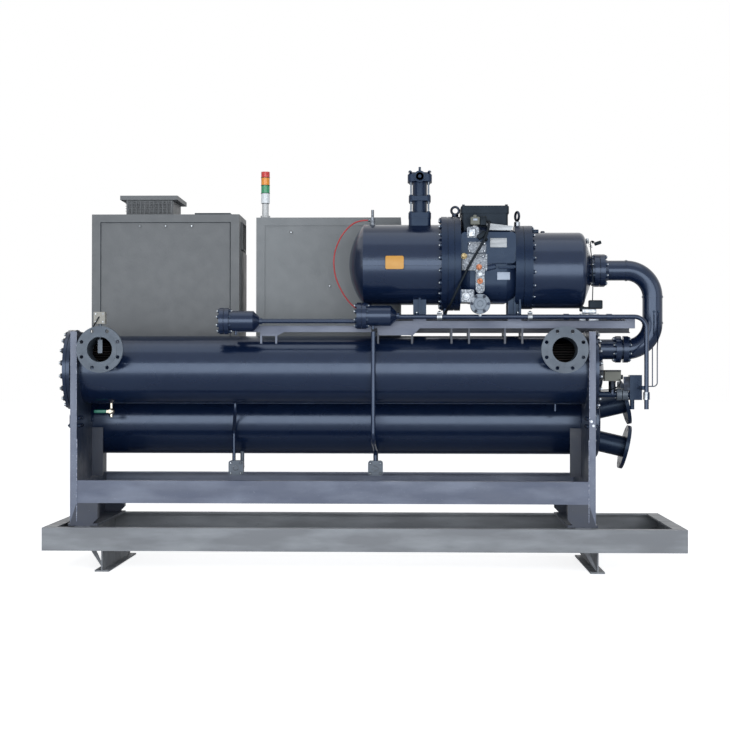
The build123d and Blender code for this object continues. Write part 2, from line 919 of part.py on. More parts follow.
def motor_housing():
    plane = Plane((motor_start, evap_y, bell_z), x_dir=(1, 0, 0), z_dir=(0, -1, 0))
    turn = bell_cylinder + bell_shoulder
    drop = bell_radius - bell_shoulder_radius
    middle = (bell_cylinder + bell_shoulder * sin(radians(45)), bell_radius - drop * (1 - cos(radians(45))))
    arc = ThreePointArc((bell_cylinder, bell_radius), middle, (turn, bell_shoulder_radius))
    edge = Polyline(
        (turn, bell_shoulder_radius), (bell_length, bell_nose_radius), (bell_length, 0),
        (0, 0), (0, bell_radius), (bell_cylinder, bell_radius),
    )
    axis = Axis((motor_start, evap_y, bell_z), (1, 0, 0))
    return revolve(plane * make_face([arc, edge]), axis=axis, revolution_arc=360)


def terminal_box():
    x = casing_start + terminal_start + terminal_length / 2
    top = casing_z + terminal_top
    bottom = top - terminal_body
    face = RectangleRounded(terminal_length, terminal_depth, terminal_corner)
    lid_length, lid_depth = terminal_length + 2 * terminal_lip, terminal_depth + 2 * terminal_lip
    lid_face = RectangleRounded(lid_length, lid_depth, terminal_corner)
    body = extrude(Plane((x, evap_y, bottom)) * face, amount=terminal_body)
    lid = extrude(Plane((x, evap_y, top)) * lid_face, amount=terminal_lid)
    lid = chamfer(lid.edges().group_by(Axis.Z)[-1], terminal_lip)
    return body + lid - compressor_casing()


# Suction line
def suction_pipe():
    flange_end = suction_flange_start + 2 * suction_flange_thickness + flange_groove
    points = [
        (flange_end, evap_y, bell_z), (suction_x, evap_y, bell_z), (suction_x, evap_y, return_z),
        (evap_right + return_stub, evap_y, return_z),
    ]
    pipe = bent_tube(points, [suction_bend, suction_bend], suction_radius)
    steps = [
        (suction_neck, suction_neck_radius), (suction_flange_thickness, suction_flange_radius),
        (flange_groove, suction_neck_radius), (suction_flange_thickness, suction_flange_radius),
        (suction_hub, suction_hub_radius, suction_radius),
    ]
    pipe += turned_x(bell_end, steps, evap_y, bell_z)
    weld_x = suction_x - suction_bend
    pipe += rod_x(weld_x - weld_width / 2, weld_x + weld_width / 2, evap_y, bell_z, weld_radius)
    for z in (bell_z - suction_bend, return_z + suction_bend):
        pipe += rod_z(z - weld_width / 2, z + weld_width / 2, suction_x, evap_y, weld_radius)
    start = evap_right + return_flange_reach
    second = start + return_flange_thickness + return_flange_gap
    for x in (start, second):
        pipe += rod_x(x, x + return_flange_thickness, evap_y, return_z, return_flange_radius)
    return pipe - evaporator_head(1, evap_dish_right)


# Rails, brackets and feet
foot_places = [(sep_left + valve_x - foot_width / 2, sep_z), (casing_end - foot_width / 2, motor_flange_z)]


def compressor_rails():
    body = None
    for side, y, low, high in (
        (1, comp_rail_front_y, comp_rail_bottom, comp_rail_top), (-1, comp_rail_rear_y, rear_rail_bottom, rail_pad_top),
    ):
        section = channel(high - low, comp_rail_depth, comp_rail_wall, comp_rail_wall, side)
        rail = beam_x(section, comp_rail_left, comp_rail_right, y, low)
        body = rail if body is None else body + rail
    spans = [(x, x + foot_width) for x, _ in foot_places]
    spans += [(comp_rail_right - rail_pad_end, comp_rail_right)]
    for x0, x1 in spans:
        body += block(x0, x1, comp_rail_front_y, comp_rail_rear_y, comp_rail_top, rail_pad_top)
    return body


def compressor_feet():
    body = None
    for x, z in foot_places:
        for y in (evap_y - foot_spread, evap_y + foot_spread):
            middle = x + foot_width / 2
            front, back = y - foot_depth / 2, y + foot_depth / 2
            leg = block(middle - foot_wall / 2, middle + foot_wall / 2, front, back, rail_pad_top, z)
            leg += block(x, x + foot_width, y - foot_wall / 2, y + foot_wall / 2, rail_pad_top, z)
            leg += block(x, x + foot_width, front, back, rail_pad_top, rail_pad_top + foot_wall)
            body = leg if body is None else body + leg
    return body - separator_body() - compressor_casing()


def bracket_webs(x0, x1, y, side, top):
    """Two webs under a rail, cut to the shell they stand on."""
    body = None
    for x in (x0, x1 - bracket_plate):
        web = block(x, x + bracket_plate, *sorted((y, y + side * bracket_depth)), evap_z, top)
        body = web if body is None else body + web
    return body - rod_x(evap_left, evap_right, evap_y, evap_z, shell_radius)


def tapered_face(x0, x1, y, side, top, drop):
    taper = [(x0, top), (x1 + bracket_taper, top), (x1, top - drop), (x0, top - drop)]
    return beam_y(outline(taper), *sorted((y, y + side * comp_rail_wall)), 0, 0)


def rail_brackets():
    x0, x1 = (comp_rail_left + x for x in faced_bracket)
    body = tapered_face(x0, x1, comp_rail_front_y, 1, comp_rail_bottom, bracket_drop)
    for x0, x1 in [faced_bracket, *open_brackets]:
        left, right = comp_rail_left + x0, comp_rail_left + x1
        body += bracket_webs(left, right, comp_rail_front_y, 1, comp_rail_bottom)
        body += bracket_webs(left, right, comp_rail_rear_y, -1, rear_rail_bottom)
    return body


def filter_rail():
    left = comp_rail_left - filter_rail_length
    section = channel(filter_rail_height, comp_rail_depth, comp_rail_wall, comp_rail_wall, 1)
    rail = beam_x(section, left, comp_rail_left, comp_rail_front_y, filter_rail_bottom)
    x = left + filter_bracket
    right = x + filter_bracket_length
    rail += tapered_face(x, right, comp_rail_front_y, 1, filter_rail_bottom, filter_rail_drop)
    return rail + bracket_webs(x, right, comp_rail_front_y, 1, filter_rail_bottom)


# Filters and liquid line
def filter_pot(x, z, seat_z):
    steps = [
        (pot_flange_thickness, pot_flange_radius), (pot_flange_gap, pot_radius),
        (pot_flange_thickness, pot_flange_radius), (pot_body_length, pot_radius),
        (pot_cone, pot_radius, pot_cone_radius), (pot_tail, pot_tail_radius),
    ]
    body = turned_x(x, steps, pot_y, z)
    shoe_start, shoe_length, shoe_height = pot_shoe
    start = x + 2 * pot_flange_thickness + pot_flange_gap + shoe_start
    seat_y = comp_rail_front_y + comp_rail_depth / 2
    body += block(start, start + shoe_length, pot_y, seat_y, seat_z, seat_z + shoe_height)
    return body + rod_z(z - pot_stub_drop, z, x + pot_stub_x, pot_y, pot_stub_radius)


def liquid_pipe():
    start_x = pot_right_x + pot_length
    z = evap_z + pot_right_rise - pipe_sag
    end_z = evap_z - pipe_end
    points = [(start_x, pot_y, z), (pipe_drop_x, pot_y, z), (pipe_drop_x, pot_y, end_z)]
    pipe = bent_tube(points, [pipe_bend], pipe_radius)
    pipe += rod_z(end_z - union_height, end_z, pipe_drop_x, pot_y, union_radius)
    pipe += rod_z(end_z - union_height - cap_height, end_z - union_height, pipe_drop_x, pot_y, cap_radius)
    for place in coupling_places:
        x = comp_rail_left + place
        pipe += rod_x(x - coupling_length / 2, x + coupling_length / 2, pot_y, z, coupling_radius)
    return pipe


def filter_pipe():
    return rod_x(pot_left_x + pot_length, pot_right_x, pot_y, evap_z + pot_left_rise, pipe_radius)


# Oil tubes and angle valves behind the lower frame
oil_valve_top = rail_top + oil_valve_lift + oil_valve_size
shell_bottom = evap_z - shell_radius
left_tube_x = frame_left + oil_left_inset
right_tube_x = comp_rail_left + oil_right_inset


def oil_tube_left():
    lean_x = left_tube_x + oil_left_lean
    points = [
        (lean_x, evap_y, shell_bottom + oil_sink), (lean_x, evap_y, shell_bottom - oil_left_drop),
        (left_tube_x, oil_valve_y, shell_bottom - oil_left_bend), (left_tube_x, oil_valve_y, oil_valve_top),
    ]
    tube = bent_tube(points, oil_bends, oil_left_radius)
    return tube - rod_x(evap_left, evap_right, evap_y, evap_z, shell_radius)


def oil_tube_right():
    front = evap_y - shell_radius - oil_right_gap
    low_x = right_tube_x + oil_right_shift
    points = [
        (right_tube_x, front, comp_rail_bottom - oil_right_drop),
        (right_tube_x, front, shell_bottom - oil_right_bend),
        (low_x, oil_valve_y, shell_bottom - oil_right_turn), (low_x, oil_valve_y, oil_valve_top),
    ]
    return bent_tube(points, oil_bends, oil_right_radius)


def angle_valve(x, riser_x):
    z = oil_valve_top - oil_valve_size / 2
    front = oil_valve_y - oil_valve_depth / 2
    valve = slab(oil_valve_size, oil_valve_size, oil_valve_corner, front, front + oil_valve_depth, x, z)
    riser_y = oil_valve_y + oil_arm_length
    valve += rod_y(oil_valve_y, riser_y, riser_x, z, oil_arm_radius)
    valve += rod_z(z - oil_arm_radius, cond_z, riser_x, riser_y, oil_riser_radius)
    return valve - rod_x(frame_left, frame_right, cond_y, cond_z, shell_radius)


# Expansion valve at the suction end
def expansion_valve():
    body = rod_x(evap_right, evap_right + exp_body_reach + exp_body[0] / 2, evap_y, exp_z, exp_pipe_radius)
    for index in range(2):
        x = evap_right + exp_flange_reach + index * (exp_flange_thickness + exp_flange_gap)
        body += rod_x(x, x + exp_flange_thickness, evap_y, exp_z, exp_flange_radius)
    x = evap_right + exp_head_reach
    length, depth, height = exp_head
    head_z = exp_z + exp_head_rise
    body += block(x, x + length, evap_y - depth / 2, evap_y + depth / 2, head_z, head_z + height)
    body += rod_z(exp_z, head_z, x + length / 2, evap_y, exp_neck_radius)
    x = evap_right + exp_body_reach
    length, depth, height = exp_body
    low = exp_z - exp_body_drop
    body += block(x, x + length, evap_y - depth / 2, evap_y + depth / 2, low, low + height)
    body += rod_z(low - cap_height, low, x + length / 4, evap_y, cap_radius)
    body += rod_y(pot_y, evap_y, pipe_drop_x - pipe_radius, exp_z + exp_link_rise, exp_link_radius)
    return body - evaporator_head(1, evap_dish_right) - liquid_pipe()


def capillary_tubes():
    x = evap_right + exp_body_reach + exp_body[0]
    low = exp_z + capillary_rise
    top = return_z
    outer = suction_x + capillary_spread
    points = [(outer, evap_y, top), (outer, evap_y, low), (x, evap_y, low)]
    tubes = bent_tube(points, [capillary_bend], capillary_radius)
    tubes += rod_z(low, top, suction_x, evap_y, capillary_radius)
    return tubes - suction_pipe()


# Cabinets
def cabinet(x0, x1, z1):
    body = block(x0, x1, cabinet_front_y, cabinet_rear_y, cabinet_bottom, z1)
    recess = block(
        x0 + panel_border, x1 - panel_border, cabinet_front_y, cabinet_front_y + panel_recess,
        cabinet_bottom + panel_border, z1 - panel_top,
    )
    door = block(
        x0 + door_border, x1 - door_border, cabinet_rear_y, cabinet_rear_y + door_thickness,
        cabinet_bottom + door_border, z1 - door_border,
    )
    return body - recess + door


def cabinet_vent():
    x = control_left + vent_inset
    y = cabinet_front_y + vent_setback
    top = control_top + vent_height
    body = block(x, x + vent_width, y, y + vent_depth, control_top, top)
    slot_width, slot_height = vent_slot
    pitch = vent_width / (vent_slot_count + 1)
    middle = control_top + vent_height / 2
    for index in range(vent_slot_count):
        slot_x = x + (index + 1) * pitch
        body -= block(
            slot_x - slot_width / 2, slot_x + slot_width / 2, y, y + vent_slot_depth,
            middle - slot_height / 2, middle + slot_height / 2,
        )
    over = vent_cap_over
    left, right = x - over, x + vent_width + over
    return body + block(left, right, y - over, y + vent_depth + over, top, top + vent_cap_height)


def cabinet_cover():
    x = control_left + cover_inset
    y = cabinet_front_y + vent_setback
    return block(x, x + cover_width, y, y + cover_depth, control_top, control_top + cover_thickness)


def cabinet_carrier():
    end = starter_right
    start = frame_left + plate_clearance
    body = None
    for side, y in ((1, cabinet_front_y), (-1, cabinet_rear_y)):
        section = channel(carrier_height, carrier_depth, carrier_wall, carrier_wall, side)
        rail = beam_x(section, start, end, y, carrier_bottom)
        body = rail if body is None else body + rail
    saddle = [
        (cabinet_front_y, carrier_bottom), (cabinet_rear_y, carrier_bottom),
        (cabinet_rear_y, carrier_bottom - carrier_arm),
        (cond_y + carrier_arm_width, cond_z), (cond_y, cond_z),
    ]
    pitch = (end - start - cabinet_gap) / (carrier_count - 1)
    for index in range(carrier_count):
        x = start + cabinet_gap / 2 + index * pitch
        body += beam_x(outline(saddle), x, x + carrier_plate, 0, 0)
    return body - rod_x(start, end, cond_y, cond_z, shell_radius)


def stack_light():
    return turned_z(starter_top, stack_tiers, starter_left + stack_inset, cabinet_front_y + stack_setback)


# Cables held at both ends
separator_origin = (sep_left, evap_y, sep_z)

nodes = {
    "base_beam_left": base_beam(base_inset_left - tray_length / 2),
    "base_beam_right": base_beam(tray_length / 2 - base_inset_right),
    "tray_front_beam": tray_long_beam(-1),
    "tray_rear_beam": tray_long_beam(1),
    "tray_left_beam": tray_end_beam(-1),
    "tray_right_beam": tray_end_beam(1),
    "tray_cross_left": tray_cross_beam(frame_left + cross_inset),
    "tray_cross_right": tray_cross_beam(frame_right - cross_inset),
    "end_frame_left": end_frame(-1),
    "end_frame_right": end_frame(1),
    "upper_frame_left": upper_frame(-1),
    "upper_frame_right": upper_frame(1),
    "lower_rail_front": lower_rail(-1),
    "lower_rail_rear": lower_rail(1),
    "condenser_shell": condenser_shell(),
    "condenser_box_left": condenser_box(-1, cond_box_left),
    "condenser_box_right": condenser_box(1, cond_box_right),
    "condenser_nozzle_lower": condenser_nozzle(-1),
    "condenser_nozzle_upper": condenser_nozzle(1),
    "evaporator_shell": evaporator_shell(),
    "evaporator_head_left": evaporator_head(-1, evap_dish_left),
    "evaporator_head_right": evaporator_head(1, evap_dish_right),
    "evaporator_tubes": evaporator_tubes(),
    "water_nozzle_left": water_nozzle(nozzle_left_x),
    "water_nozzle_right": water_nozzle(nozzle_right_x),
    "flow_switch": flow_switch(),
    "drain_valve_body": drain_valve_body(),
    "drain_lever": drain_lever(),
    "oil_separator": oil_separator(),
    "service_valve": service_valve(),
    "discharge_valve": discharge_valve(),
    "compressor_casing": compressor_casing(),
    "motor_housing": motor_housing(),
    "terminal_box": terminal_box(),
    "suction_pipe": suction_pipe(),
    "compressor_rails": compressor_rails(),
    "compressor_feet": compressor_feet(),
    "rail_brackets": rail_brackets(),
    "filter_rail": filter_rail(),
    "filter_pot_left": filter_pot(
        pot_left_x, evap_z + pot_left_rise, filter_rail_bottom + filter_rail_height
    ),
    "filter_pot_right": filter_pot(pot_right_x, evap_z + pot_right_rise, comp_rail_top),
    "filter_pipe": filter_pipe(),
    "liquid_pipe": liquid_pipe(),
    "oil_tube_left": oil_tube_left(),
    "oil_tube_right": oil_tube_right(),
    "angle_valve_left": angle_valve(
        left_tube_x + oil_left_valve_shift, left_tube_x + oil_left_valve_shift + oil_left_riser_shift
    ),
    "angle_valve_right": angle_valve(right_tube_x + oil_right_shift, right_tube_x + oil_right_shift),
    "expansion_valve": expansion_valve(),
    "capillary_tubes": capillary_tubes(),
    "control_cabinet": cabinet(control_left, control_right, control_top),
    "starter_cabinet": cabinet(starter_left, starter_right, starter_top),
    "cabinet_vent": cabinet_vent(),
    "cabinet_cover": cabinet_cover(),
    "cabinet_carrier": cabinet_carrier(),
    "stack_light": stack_light(),
    "red_cable": cable(red_cable_route, red_cable_radius, separator_origin),
    "black_cable": cable(black_cable_route, black_cable_radius, separator_origin),
}

for name, shape in nodes.items():
    export_step(shape, f"parts/{name}.step")
    print(name)
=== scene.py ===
import math
import bmesh
import bpy
from mathutils import Matrix, Vector
from mathutils.bvhtree import BVHTree


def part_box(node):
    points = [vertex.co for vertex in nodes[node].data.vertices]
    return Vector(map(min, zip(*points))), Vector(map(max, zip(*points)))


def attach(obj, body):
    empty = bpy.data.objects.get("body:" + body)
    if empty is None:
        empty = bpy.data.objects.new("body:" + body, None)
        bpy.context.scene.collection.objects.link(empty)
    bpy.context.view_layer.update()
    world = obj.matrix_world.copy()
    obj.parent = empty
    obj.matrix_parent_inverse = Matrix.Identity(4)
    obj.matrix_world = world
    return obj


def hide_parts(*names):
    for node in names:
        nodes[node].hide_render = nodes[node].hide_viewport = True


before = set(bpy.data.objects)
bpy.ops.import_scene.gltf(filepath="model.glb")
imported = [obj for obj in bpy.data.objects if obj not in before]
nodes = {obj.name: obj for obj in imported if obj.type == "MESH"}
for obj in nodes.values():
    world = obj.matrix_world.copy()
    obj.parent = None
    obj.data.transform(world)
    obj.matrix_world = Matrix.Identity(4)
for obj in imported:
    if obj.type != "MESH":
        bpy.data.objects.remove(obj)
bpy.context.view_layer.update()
scene = bpy.context.scene
mainBody, leverBody = "chiller", "drain_lever_body"
plusX, minusX = Vector((1, 0, 0)), Vector((-1, 0, 0))
minusY, plusZ = Vector((0, -1, 0)), Vector((0, 0, 1))
print("frame loaded,", len(nodes), "nodes")


# Small tools
def srgb(hexCode):
    channels = [int(hexCode[i:i + 2], 16) / 255 for i in (1, 3, 5)]
    return tuple(c / 12.92 if c <= 0.04045 else ((c + 0.055) / 1.055) ** 2.4 for c in channels) + (1.0,)


def addNode(tree, kind, settings=None, links=None):
    node = tree.nodes.new(kind)
    settings = dict(settings or {})
    stops = settings.pop("stops", None)  # colour ramps only
    for name, value in settings.items():
        if isinstance(name, int) or name in node.inputs:
            node.inputs[name].default_value = value
        else:
            setattr(node, name, value)
    for name, source in (links or {}).items():
        tree.links.new(source, node.inputs[name])
    if stops:
        elements = node.color_ramp.elements
        elements[0].position, elements[0].color = stops[0]
        elements[1].position, elements[1].color = stops[-1]
        for position, colour in stops[1:-1]:
            elements.new(position).color = colour
    return node


def grey(level):
    return (level, level, level, 1)


def boxOf(name):
    low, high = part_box(name)
    return Vector(low), Vector(high)


def middleOf(name):
    low, high = boxOf(name)
    return (low + high) / 2


def surfaceOf(name):
    mesh = nodes[name].data
    return BVHTree.FromPolygons([v.co for v in mesh.vertices], [p.vertices for p in mesh.polygons])


# the foremost of nine rays cast from the front, so that a piece never sinks where the surface steps
def frontAt(surface, x, z, fallback, reach=0.0015):
    starts = [Vector((x + i * reach, -2, z + j * reach)) for i in (-1, 0, 1) for j in (-1, 0, 1)]
    hits = [surface.ray_cast(start, -minusY)[0] for start in starts]
    return min([hit.y for hit in hits if hit], default=fallback)


def finishPiece(obj, body=mainBody, replaced=()):
    if obj.name not in scene.collection.objects:
        scene.collection.objects.link(obj)
    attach(obj, body)
    if replaced:
        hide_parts(*replaced)
    return obj


# Camera, fitted to the photograph's frame
cameraView = {
    "place": (0.305, -10.314, 1.205), "ahead": (-0.0302, 0.9995, 0.0065), "roll": -0.0012, "lens": 79.44,
    "sensor": 36, "reach": 100,
}

camera = bpy.data.objects.new("camera", bpy.data.cameras.new("camera"))
scene.collection.objects.link(camera)
camera.location = cameraView["place"]
aim = Vector(cameraView["ahead"]).to_track_quat("-Z", "Y").to_matrix()
camera.rotation_euler = (aim @ Matrix.Rotation(-cameraView["roll"], 3, "Z")).to_euler()
camera.data.lens = cameraView["lens"]
camera.data.sensor_width = cameraView["sensor"]
camera.data.clip_end = cameraView["reach"]
scene.camera = camera


# Cables: routes as the machine carries them, held at both ends
cables = {
    "red_cable": {
        "radius": 0.0045, "length": 0.773, "lay": "hanging", "stiffness": "medium",
        "route": [
            (0.018, -0.200, 2.180), (-0.038, -0.200, 2.180), (-0.100, -0.200, 2.145), (-0.160, -0.200, 2.071),
            (-0.200, -0.200, 1.959), (-0.194, -0.200, 1.839), (-0.155, -0.200, 1.744), (-0.105, -0.200, 1.667),
            (-0.050, -0.200, 1.618), (0.004, -0.200, 1.618),
        ],
    },
    "black_cable": {
        "radius": 0.008, "length": 0.835, "lay": "hanging", "stiffness": "stiff",
        "route": [
            (0.764, -0.350, 2.150), (0.764, -0.426, 2.150), (0.762, -0.478, 2.105), (0.738, -0.492, 2.039),
            (0.693, -0.490, 1.961), (0.650, -0.488, 1.891), (0.614, -0.485, 1.819), (0.580, -0.482, 1.749),
            (0.550, -0.470, 1.685), (0.526, -0.440, 1.633), (0.500, -0.372, 1.595), (0.500, -0.290, 1.595),
        ],
    },
    "motor_lead": {
        "radius": 0.0032, "length": 0.526, "lay": "hanging", "stiffness": "medium",
        "route": [
            (1.430, -0.232, 2.040), (1.405, -0.262, 2.052), (1.398, -0.300, 2.000), (1.409, -0.322, 1.900),
            (1.412, -0.326, 1.760), (1.409, -0.318, 1.672), (1.409, -0.318, 1.568),
        ],
    },
    "expansion_lead": {
        "radius": 0.0038, "length": 0.218, "lay": "hanging", "stiffness": "medium",
        "route": [
            (1.585, -0.260, 1.180), (1.585, -0.290, 1.180), (1.583, -0.318, 1.160), (1.560, -0.326, 1.132),
            (1.522, -0.304, 1.118), (1.492, -0.268, 1.116), (1.467, -0.250, 1.116),
        ],
    },
    "switch_lead": {
        "radius": 0.0038, "length": 0.133, "lay": "hanging", "stiffness": "medium",
        "route": [
            (-1.618, -0.512, 1.562), (-1.620, -0.524, 1.558), (-1.632, -0.530, 1.535), (-1.645, -0.528, 1.515),
            (-1.656, -0.505, 1.500), (-1.668, -0.462, 1.497),
        ],
    },
}


def splineCurve(name, points, radius):
    curve = bpy.data.curves.new(name, "CURVE")
    curve.dimensions = "3D"
    curve.bevel_depth = radius
    curve.bevel_resolution = 3
    curve.use_fill_caps = True
    spline = curve.splines.new("NURBS")
    spline.points.add(len(points) - 1)
    for point, place in zip(spline.points, points):
        point.co = (*place, 1)
    spline.order_u = 3
    spline.use_endpoint_u = True
    spline.resolution_u = 6
    return curve


# Materials
def newMaterial(name):
    material = bpy.data.materials.new(name)
    material.use_nodes = True
    tree = material.node_tree
    tree.nodes.clear()
    shader = addNode(tree, "ShaderNodeBsdfPrincipled")
    addNode(tree, "ShaderNodeOutputMaterial", links={"Surface": shader.outputs[0]})
    return material, tree, shader


# noise scales are cells per metre: a grain of 240 is about 4 mm across, a patch of 5 about 200 mm
coatDefaults = {
    "patch": 5, "dusty": 0.35, "chips": 160, "chipFrom": 0.78, "gloss": 14, "bump": 0.12, "depth": 0.001,
    "stretch": (1, 1, 1), "metal": 0.0, "index": 1.5, "tint": "#FFFFFF",
}
noiseSpan = {"dust": (0.42, 0.72), "shine": (0.3, 0.75), "middle": 0.55, "chipEdge": 0.03}  # where each ramp runs


def coatedSurface(name, look):
    look = {**coatDefaults, **look}
    material, tree, shader = newMaterial(name)
    place = addNode(tree, "ShaderNodeTexCoord").outputs["Object"]
    spread = addNode(tree, "ShaderNodeMapping", {"Scale": look["stretch"]}, {"Vector": place}).outputs[0]
    patches = addNode(tree, "ShaderNodeTexNoise", {"Scale": look["patch"], "Detail": 4.0}, {"Vector": spread})
    dustStops = list(zip(noiseSpan["dust"], (grey(0), grey(look["dusty"]))))
    dustMask = addNode(tree, "ShaderNodeValToRGB", {"stops": dustStops}, {"Fac": patches.outputs[0]})
    clean = {"data_type": "RGBA", 6: srgb(look["colour"]), 7: srgb(look["dust"])}
    dusted = addNode(tree, "ShaderNodeMix", clean, {0: dustMask.outputs[0]})
    speckle = {"Scale": look["chips"], "Detail": 2.0, "Roughness": 0.7}
    specks = addNode(tree, "ShaderNodeTexNoise", speckle, {"Vector": place})
    chipStops = [(look["chipFrom"], grey(0)), (look["chipFrom"] + noiseSpan["chipEdge"], grey(1))]
    chipMask = addNode(tree, "ShaderNodeValToRGB", {"stops": chipStops}, {"Fac": specks.outputs[0]})
    worn = {"data_type": "RGBA", 7: srgb(look["chip"])}
    chipped = addNode(tree, "ShaderNodeMix", worn, {0: chipMask.outputs[0], 6: dusted.outputs[2]})
    tree.links.new(chipped.outputs[2], shader.inputs["Base Color"])
    sheen = addNode(tree, "ShaderNodeTexNoise", {"Scale": look["gloss"], "Detail": 3.0}, {"Vector": spread})
    roughStops = list(zip(noiseSpan["shine"], map(grey, look["rough"])))
    roughness = addNode(tree, "ShaderNodeValToRGB", {"stops": roughStops}, {"Fac": sheen.outputs[0]})
    tree.links.new(roughness.outputs[0], shader.inputs["Roughness"])
    skin = addNode(tree, "ShaderNodeTexNoise", {"Scale": look["grain"], "Detail": 2.0}, {"Vector": spread})
    relief = {"Strength": look["bump"], "Distance": look["depth"]}
    bump = addNode(tree, "ShaderNodeBump", relief, {"Height": skin.outputs[0]})
    tree.links.new(bump.outputs[0], shader.inputs["Normal"])
    shader.inputs["IOR"].default_value = look["index"]
    shader.inputs["Specular Tint"].default_value = srgb(look["tint"])
    shader.inputs["Metallic"].default_value = look["metal"]
    return material


metalDefaults = {"stain": 30, "bump": 0.2, "depth": 0.0008, "stretch": (1, 1, 1), "metal": 1.0}


def bareMetal(name, look):
    look = {**metalDefaults, **look}
    material, tree, shader = newMaterial(name)
    place = addNode(tree, "ShaderNodeTexCoord").outputs["Object"]
    spread = addNode(tree, "ShaderNodeMapping", {"Scale": look["stretch"]}, {"Vector": place}).outputs[0]
    stain = addNode(tree, "ShaderNodeTexNoise", {"Scale": look["stain"], "Detail": 4.0}, {"Vector": spread})
    start, end = noiseSpan["shine"]
    tones = [
        (start, srgb(look["dark"])), (noiseSpan["middle"], srgb(look["colour"])), (end, srgb(look["bright"])),
    ]
    colour = addNode(tree, "ShaderNodeValToRGB", {"stops": tones}, {"Fac": stain.outputs[0]})
    tree.links.new(colour.outputs[0], shader.inputs["Base Color"])
    low, high = look["rough"]
    roughStops = [(start, grey(high)), (end, grey(low))]
    roughness = addNode(tree, "ShaderNodeValToRGB", {"stops": roughStops}, {"Fac": stain.outputs[0]})
    tree.links.new(roughness.outputs[0], shader.inputs["Roughness"])
    grit = addNode(tree, "ShaderNodeTexNoise", {"Scale": look["grain"], "Detail": 2.0}, {"Vector": spread})
    relief = {"Strength": look["bump"], "Distance": look["depth"]}
    bump = addNode(tree, "ShaderNodeBump", relief, {"Height": grit.outputs[0]})
    tree.links.new(bump.outputs[0], shader.inputs["Normal"])
    shader.inputs["Metallic"].default_value = look["metal"]
    return material


# alkyd enamel sprayed on rolled shells: satin navy, slight orange peel 4 mm across, a little settled dust
vesselEnamel = coatedSurface("alkydEnamelNavyOnRolledSteel", {
    "colour": "#0C1830", "dust": "#152238", "chip": "#3A475D", "rough": (0.16, 0.25), "grain": 240, "bump": 0.05,
    "chipFrom": 0.83, "patch": 3, "index": 1.58, "tint": "#D2E4FF",
})
# the same enamel over sand castings: the 6 mm grain breaks the shine into specks
castEnamel = coatedSurface("alkydEnamelNavyOnIronCasting", {
    "colour": "#0F1B33", "dust": "#18263D", "chip": "#46536A", "rough": (0.25, 0.38), "grain": 165, "bump": 0.32,
    "depth": 0.0012, "chipFrom": 0.8, "patch": 6, "index": 1.38, "tint": "#CDE6FF",
})
# the same enamel, paler where it is polished: the discharge valve's rod cap and the band's edges
paleCast = coatedSurface("alkydEnamelNavyPolished", {
    "colour": "#1D2A40", "dust": "#34435A", "chip": "#6A778C", "rough": (0.2, 0.3), "grain": 200, "chipFrom": 0.8,
    "patch": 10, "index": 1.6, "tint": "#CDE6FF",
})
# brushed enamel on welded frame plates: dull, dusty, chipped along handling marks
frameEnamel = coatedSurface("alkydEnamelOnWeldedPlate", {
    "colour": "#1A2334", "dust": "#2B3448", "chip": "#707A8C", "rough": (0.32, 0.5), "grain": 120, "chipFrom": 0.74,
    "patch": 7, "dusty": 0.5,
})
# pale blue-grey enamel on the posts' front strips, with weld spatter left under it; it goes on the front-facing faces
# only, as painted light
postFrontPaintedLight = coatedSurface("alkydEnamelPostFrontPaintedLight", {
    "colour": "#586073", "dust": "#6C7487", "chip": "#9AA1B0", "rough": (0.34, 0.5), "grain": 150, "bump": 0.25,
    "chips": 130, "chipFrom": 0.66, "patch": 9, "dusty": 0.6,
})
# blue-grey enamel of the rolled channels, long faces gather dust in streaks
railEnamel = coatedSurface("alkydEnamelRailBlueGrey", {
    "colour": "#4C5468", "dust": "#737B8D", "chip": "#9AA1AF", "rough": (0.32, 0.55), "grain": 140, "chipFrom": 0.72,
    "patch": 10, "dusty": 0.65, "stretch": (0.3, 1, 1),
})
# pale grey enamel of the tray: walked on, with darker rubs along it
trayEnamel = coatedSurface("alkydEnamelTrayGrey", {
    "colour": "#6E7176", "dust": "#8B8F94", "chip": "#565B66", "rough": (0.36, 0.6), "grain": 120, "chipFrom": 0.7,
    "chips": 90, "patch": 12, "dusty": 0.9, "stretch": (0.22, 1, 1),
})
# thin zinc phosphate primer on turned flanges and covers: steel blue with the tool marks showing through
phosphatePrimer = coatedSurface("phosphatePrimerOnTurnedSteel", {
    "colour": "#4C5560", "dust": "#5E6873", "chip": "#363E49", "rough": (0.36, 0.52), "grain": 300, "chipFrom": 0.74,
    "patch": 12, "dusty": 0.5, "metal": 0.2,
})
# the same primer on the cast cover, paler because it is freshly rubbed down
palePrimer = coatedSurface("phosphatePrimerRubbedOnCasting", {
    "colour": "#626C78", "dust": "#737D89", "chip": "#444D58", "rough": (0.38, 0.52), "grain": 260, "chipFrom": 0.76,
    "patch": 14, "dusty": 0.5, "metal": 0.2,
})
# polyester powder coat on sheet steel: mid grey with a fine texture, drawn 3 mm coarse so that it shows
cabinetPowder = coatedSurface("powderCoatCabinetGrey", {
    "colour": "#5B5E61", "dust": "#626568", "chip": "#76797C", "rough": (0.46, 0.58), "grain": 330, "bump": 0.2,
    "depth": 0.0007, "chipFrom": 0.82, "patch": 2, "dusty": 0.5,
})
# the starter cabinet came from a paler batch of the same powder
palePowder = coatedSurface("powderCoatCabinetPaleGrey", {
    "colour": "#6C7073", "dust": "#75797C", "chip": "#888C8F", "rough": (0.46, 0.58), "grain": 330, "bump": 0.2,
    "depth": 0.0007, "chipFrom": 0.82, "patch": 2, "dusty": 0.5,
})
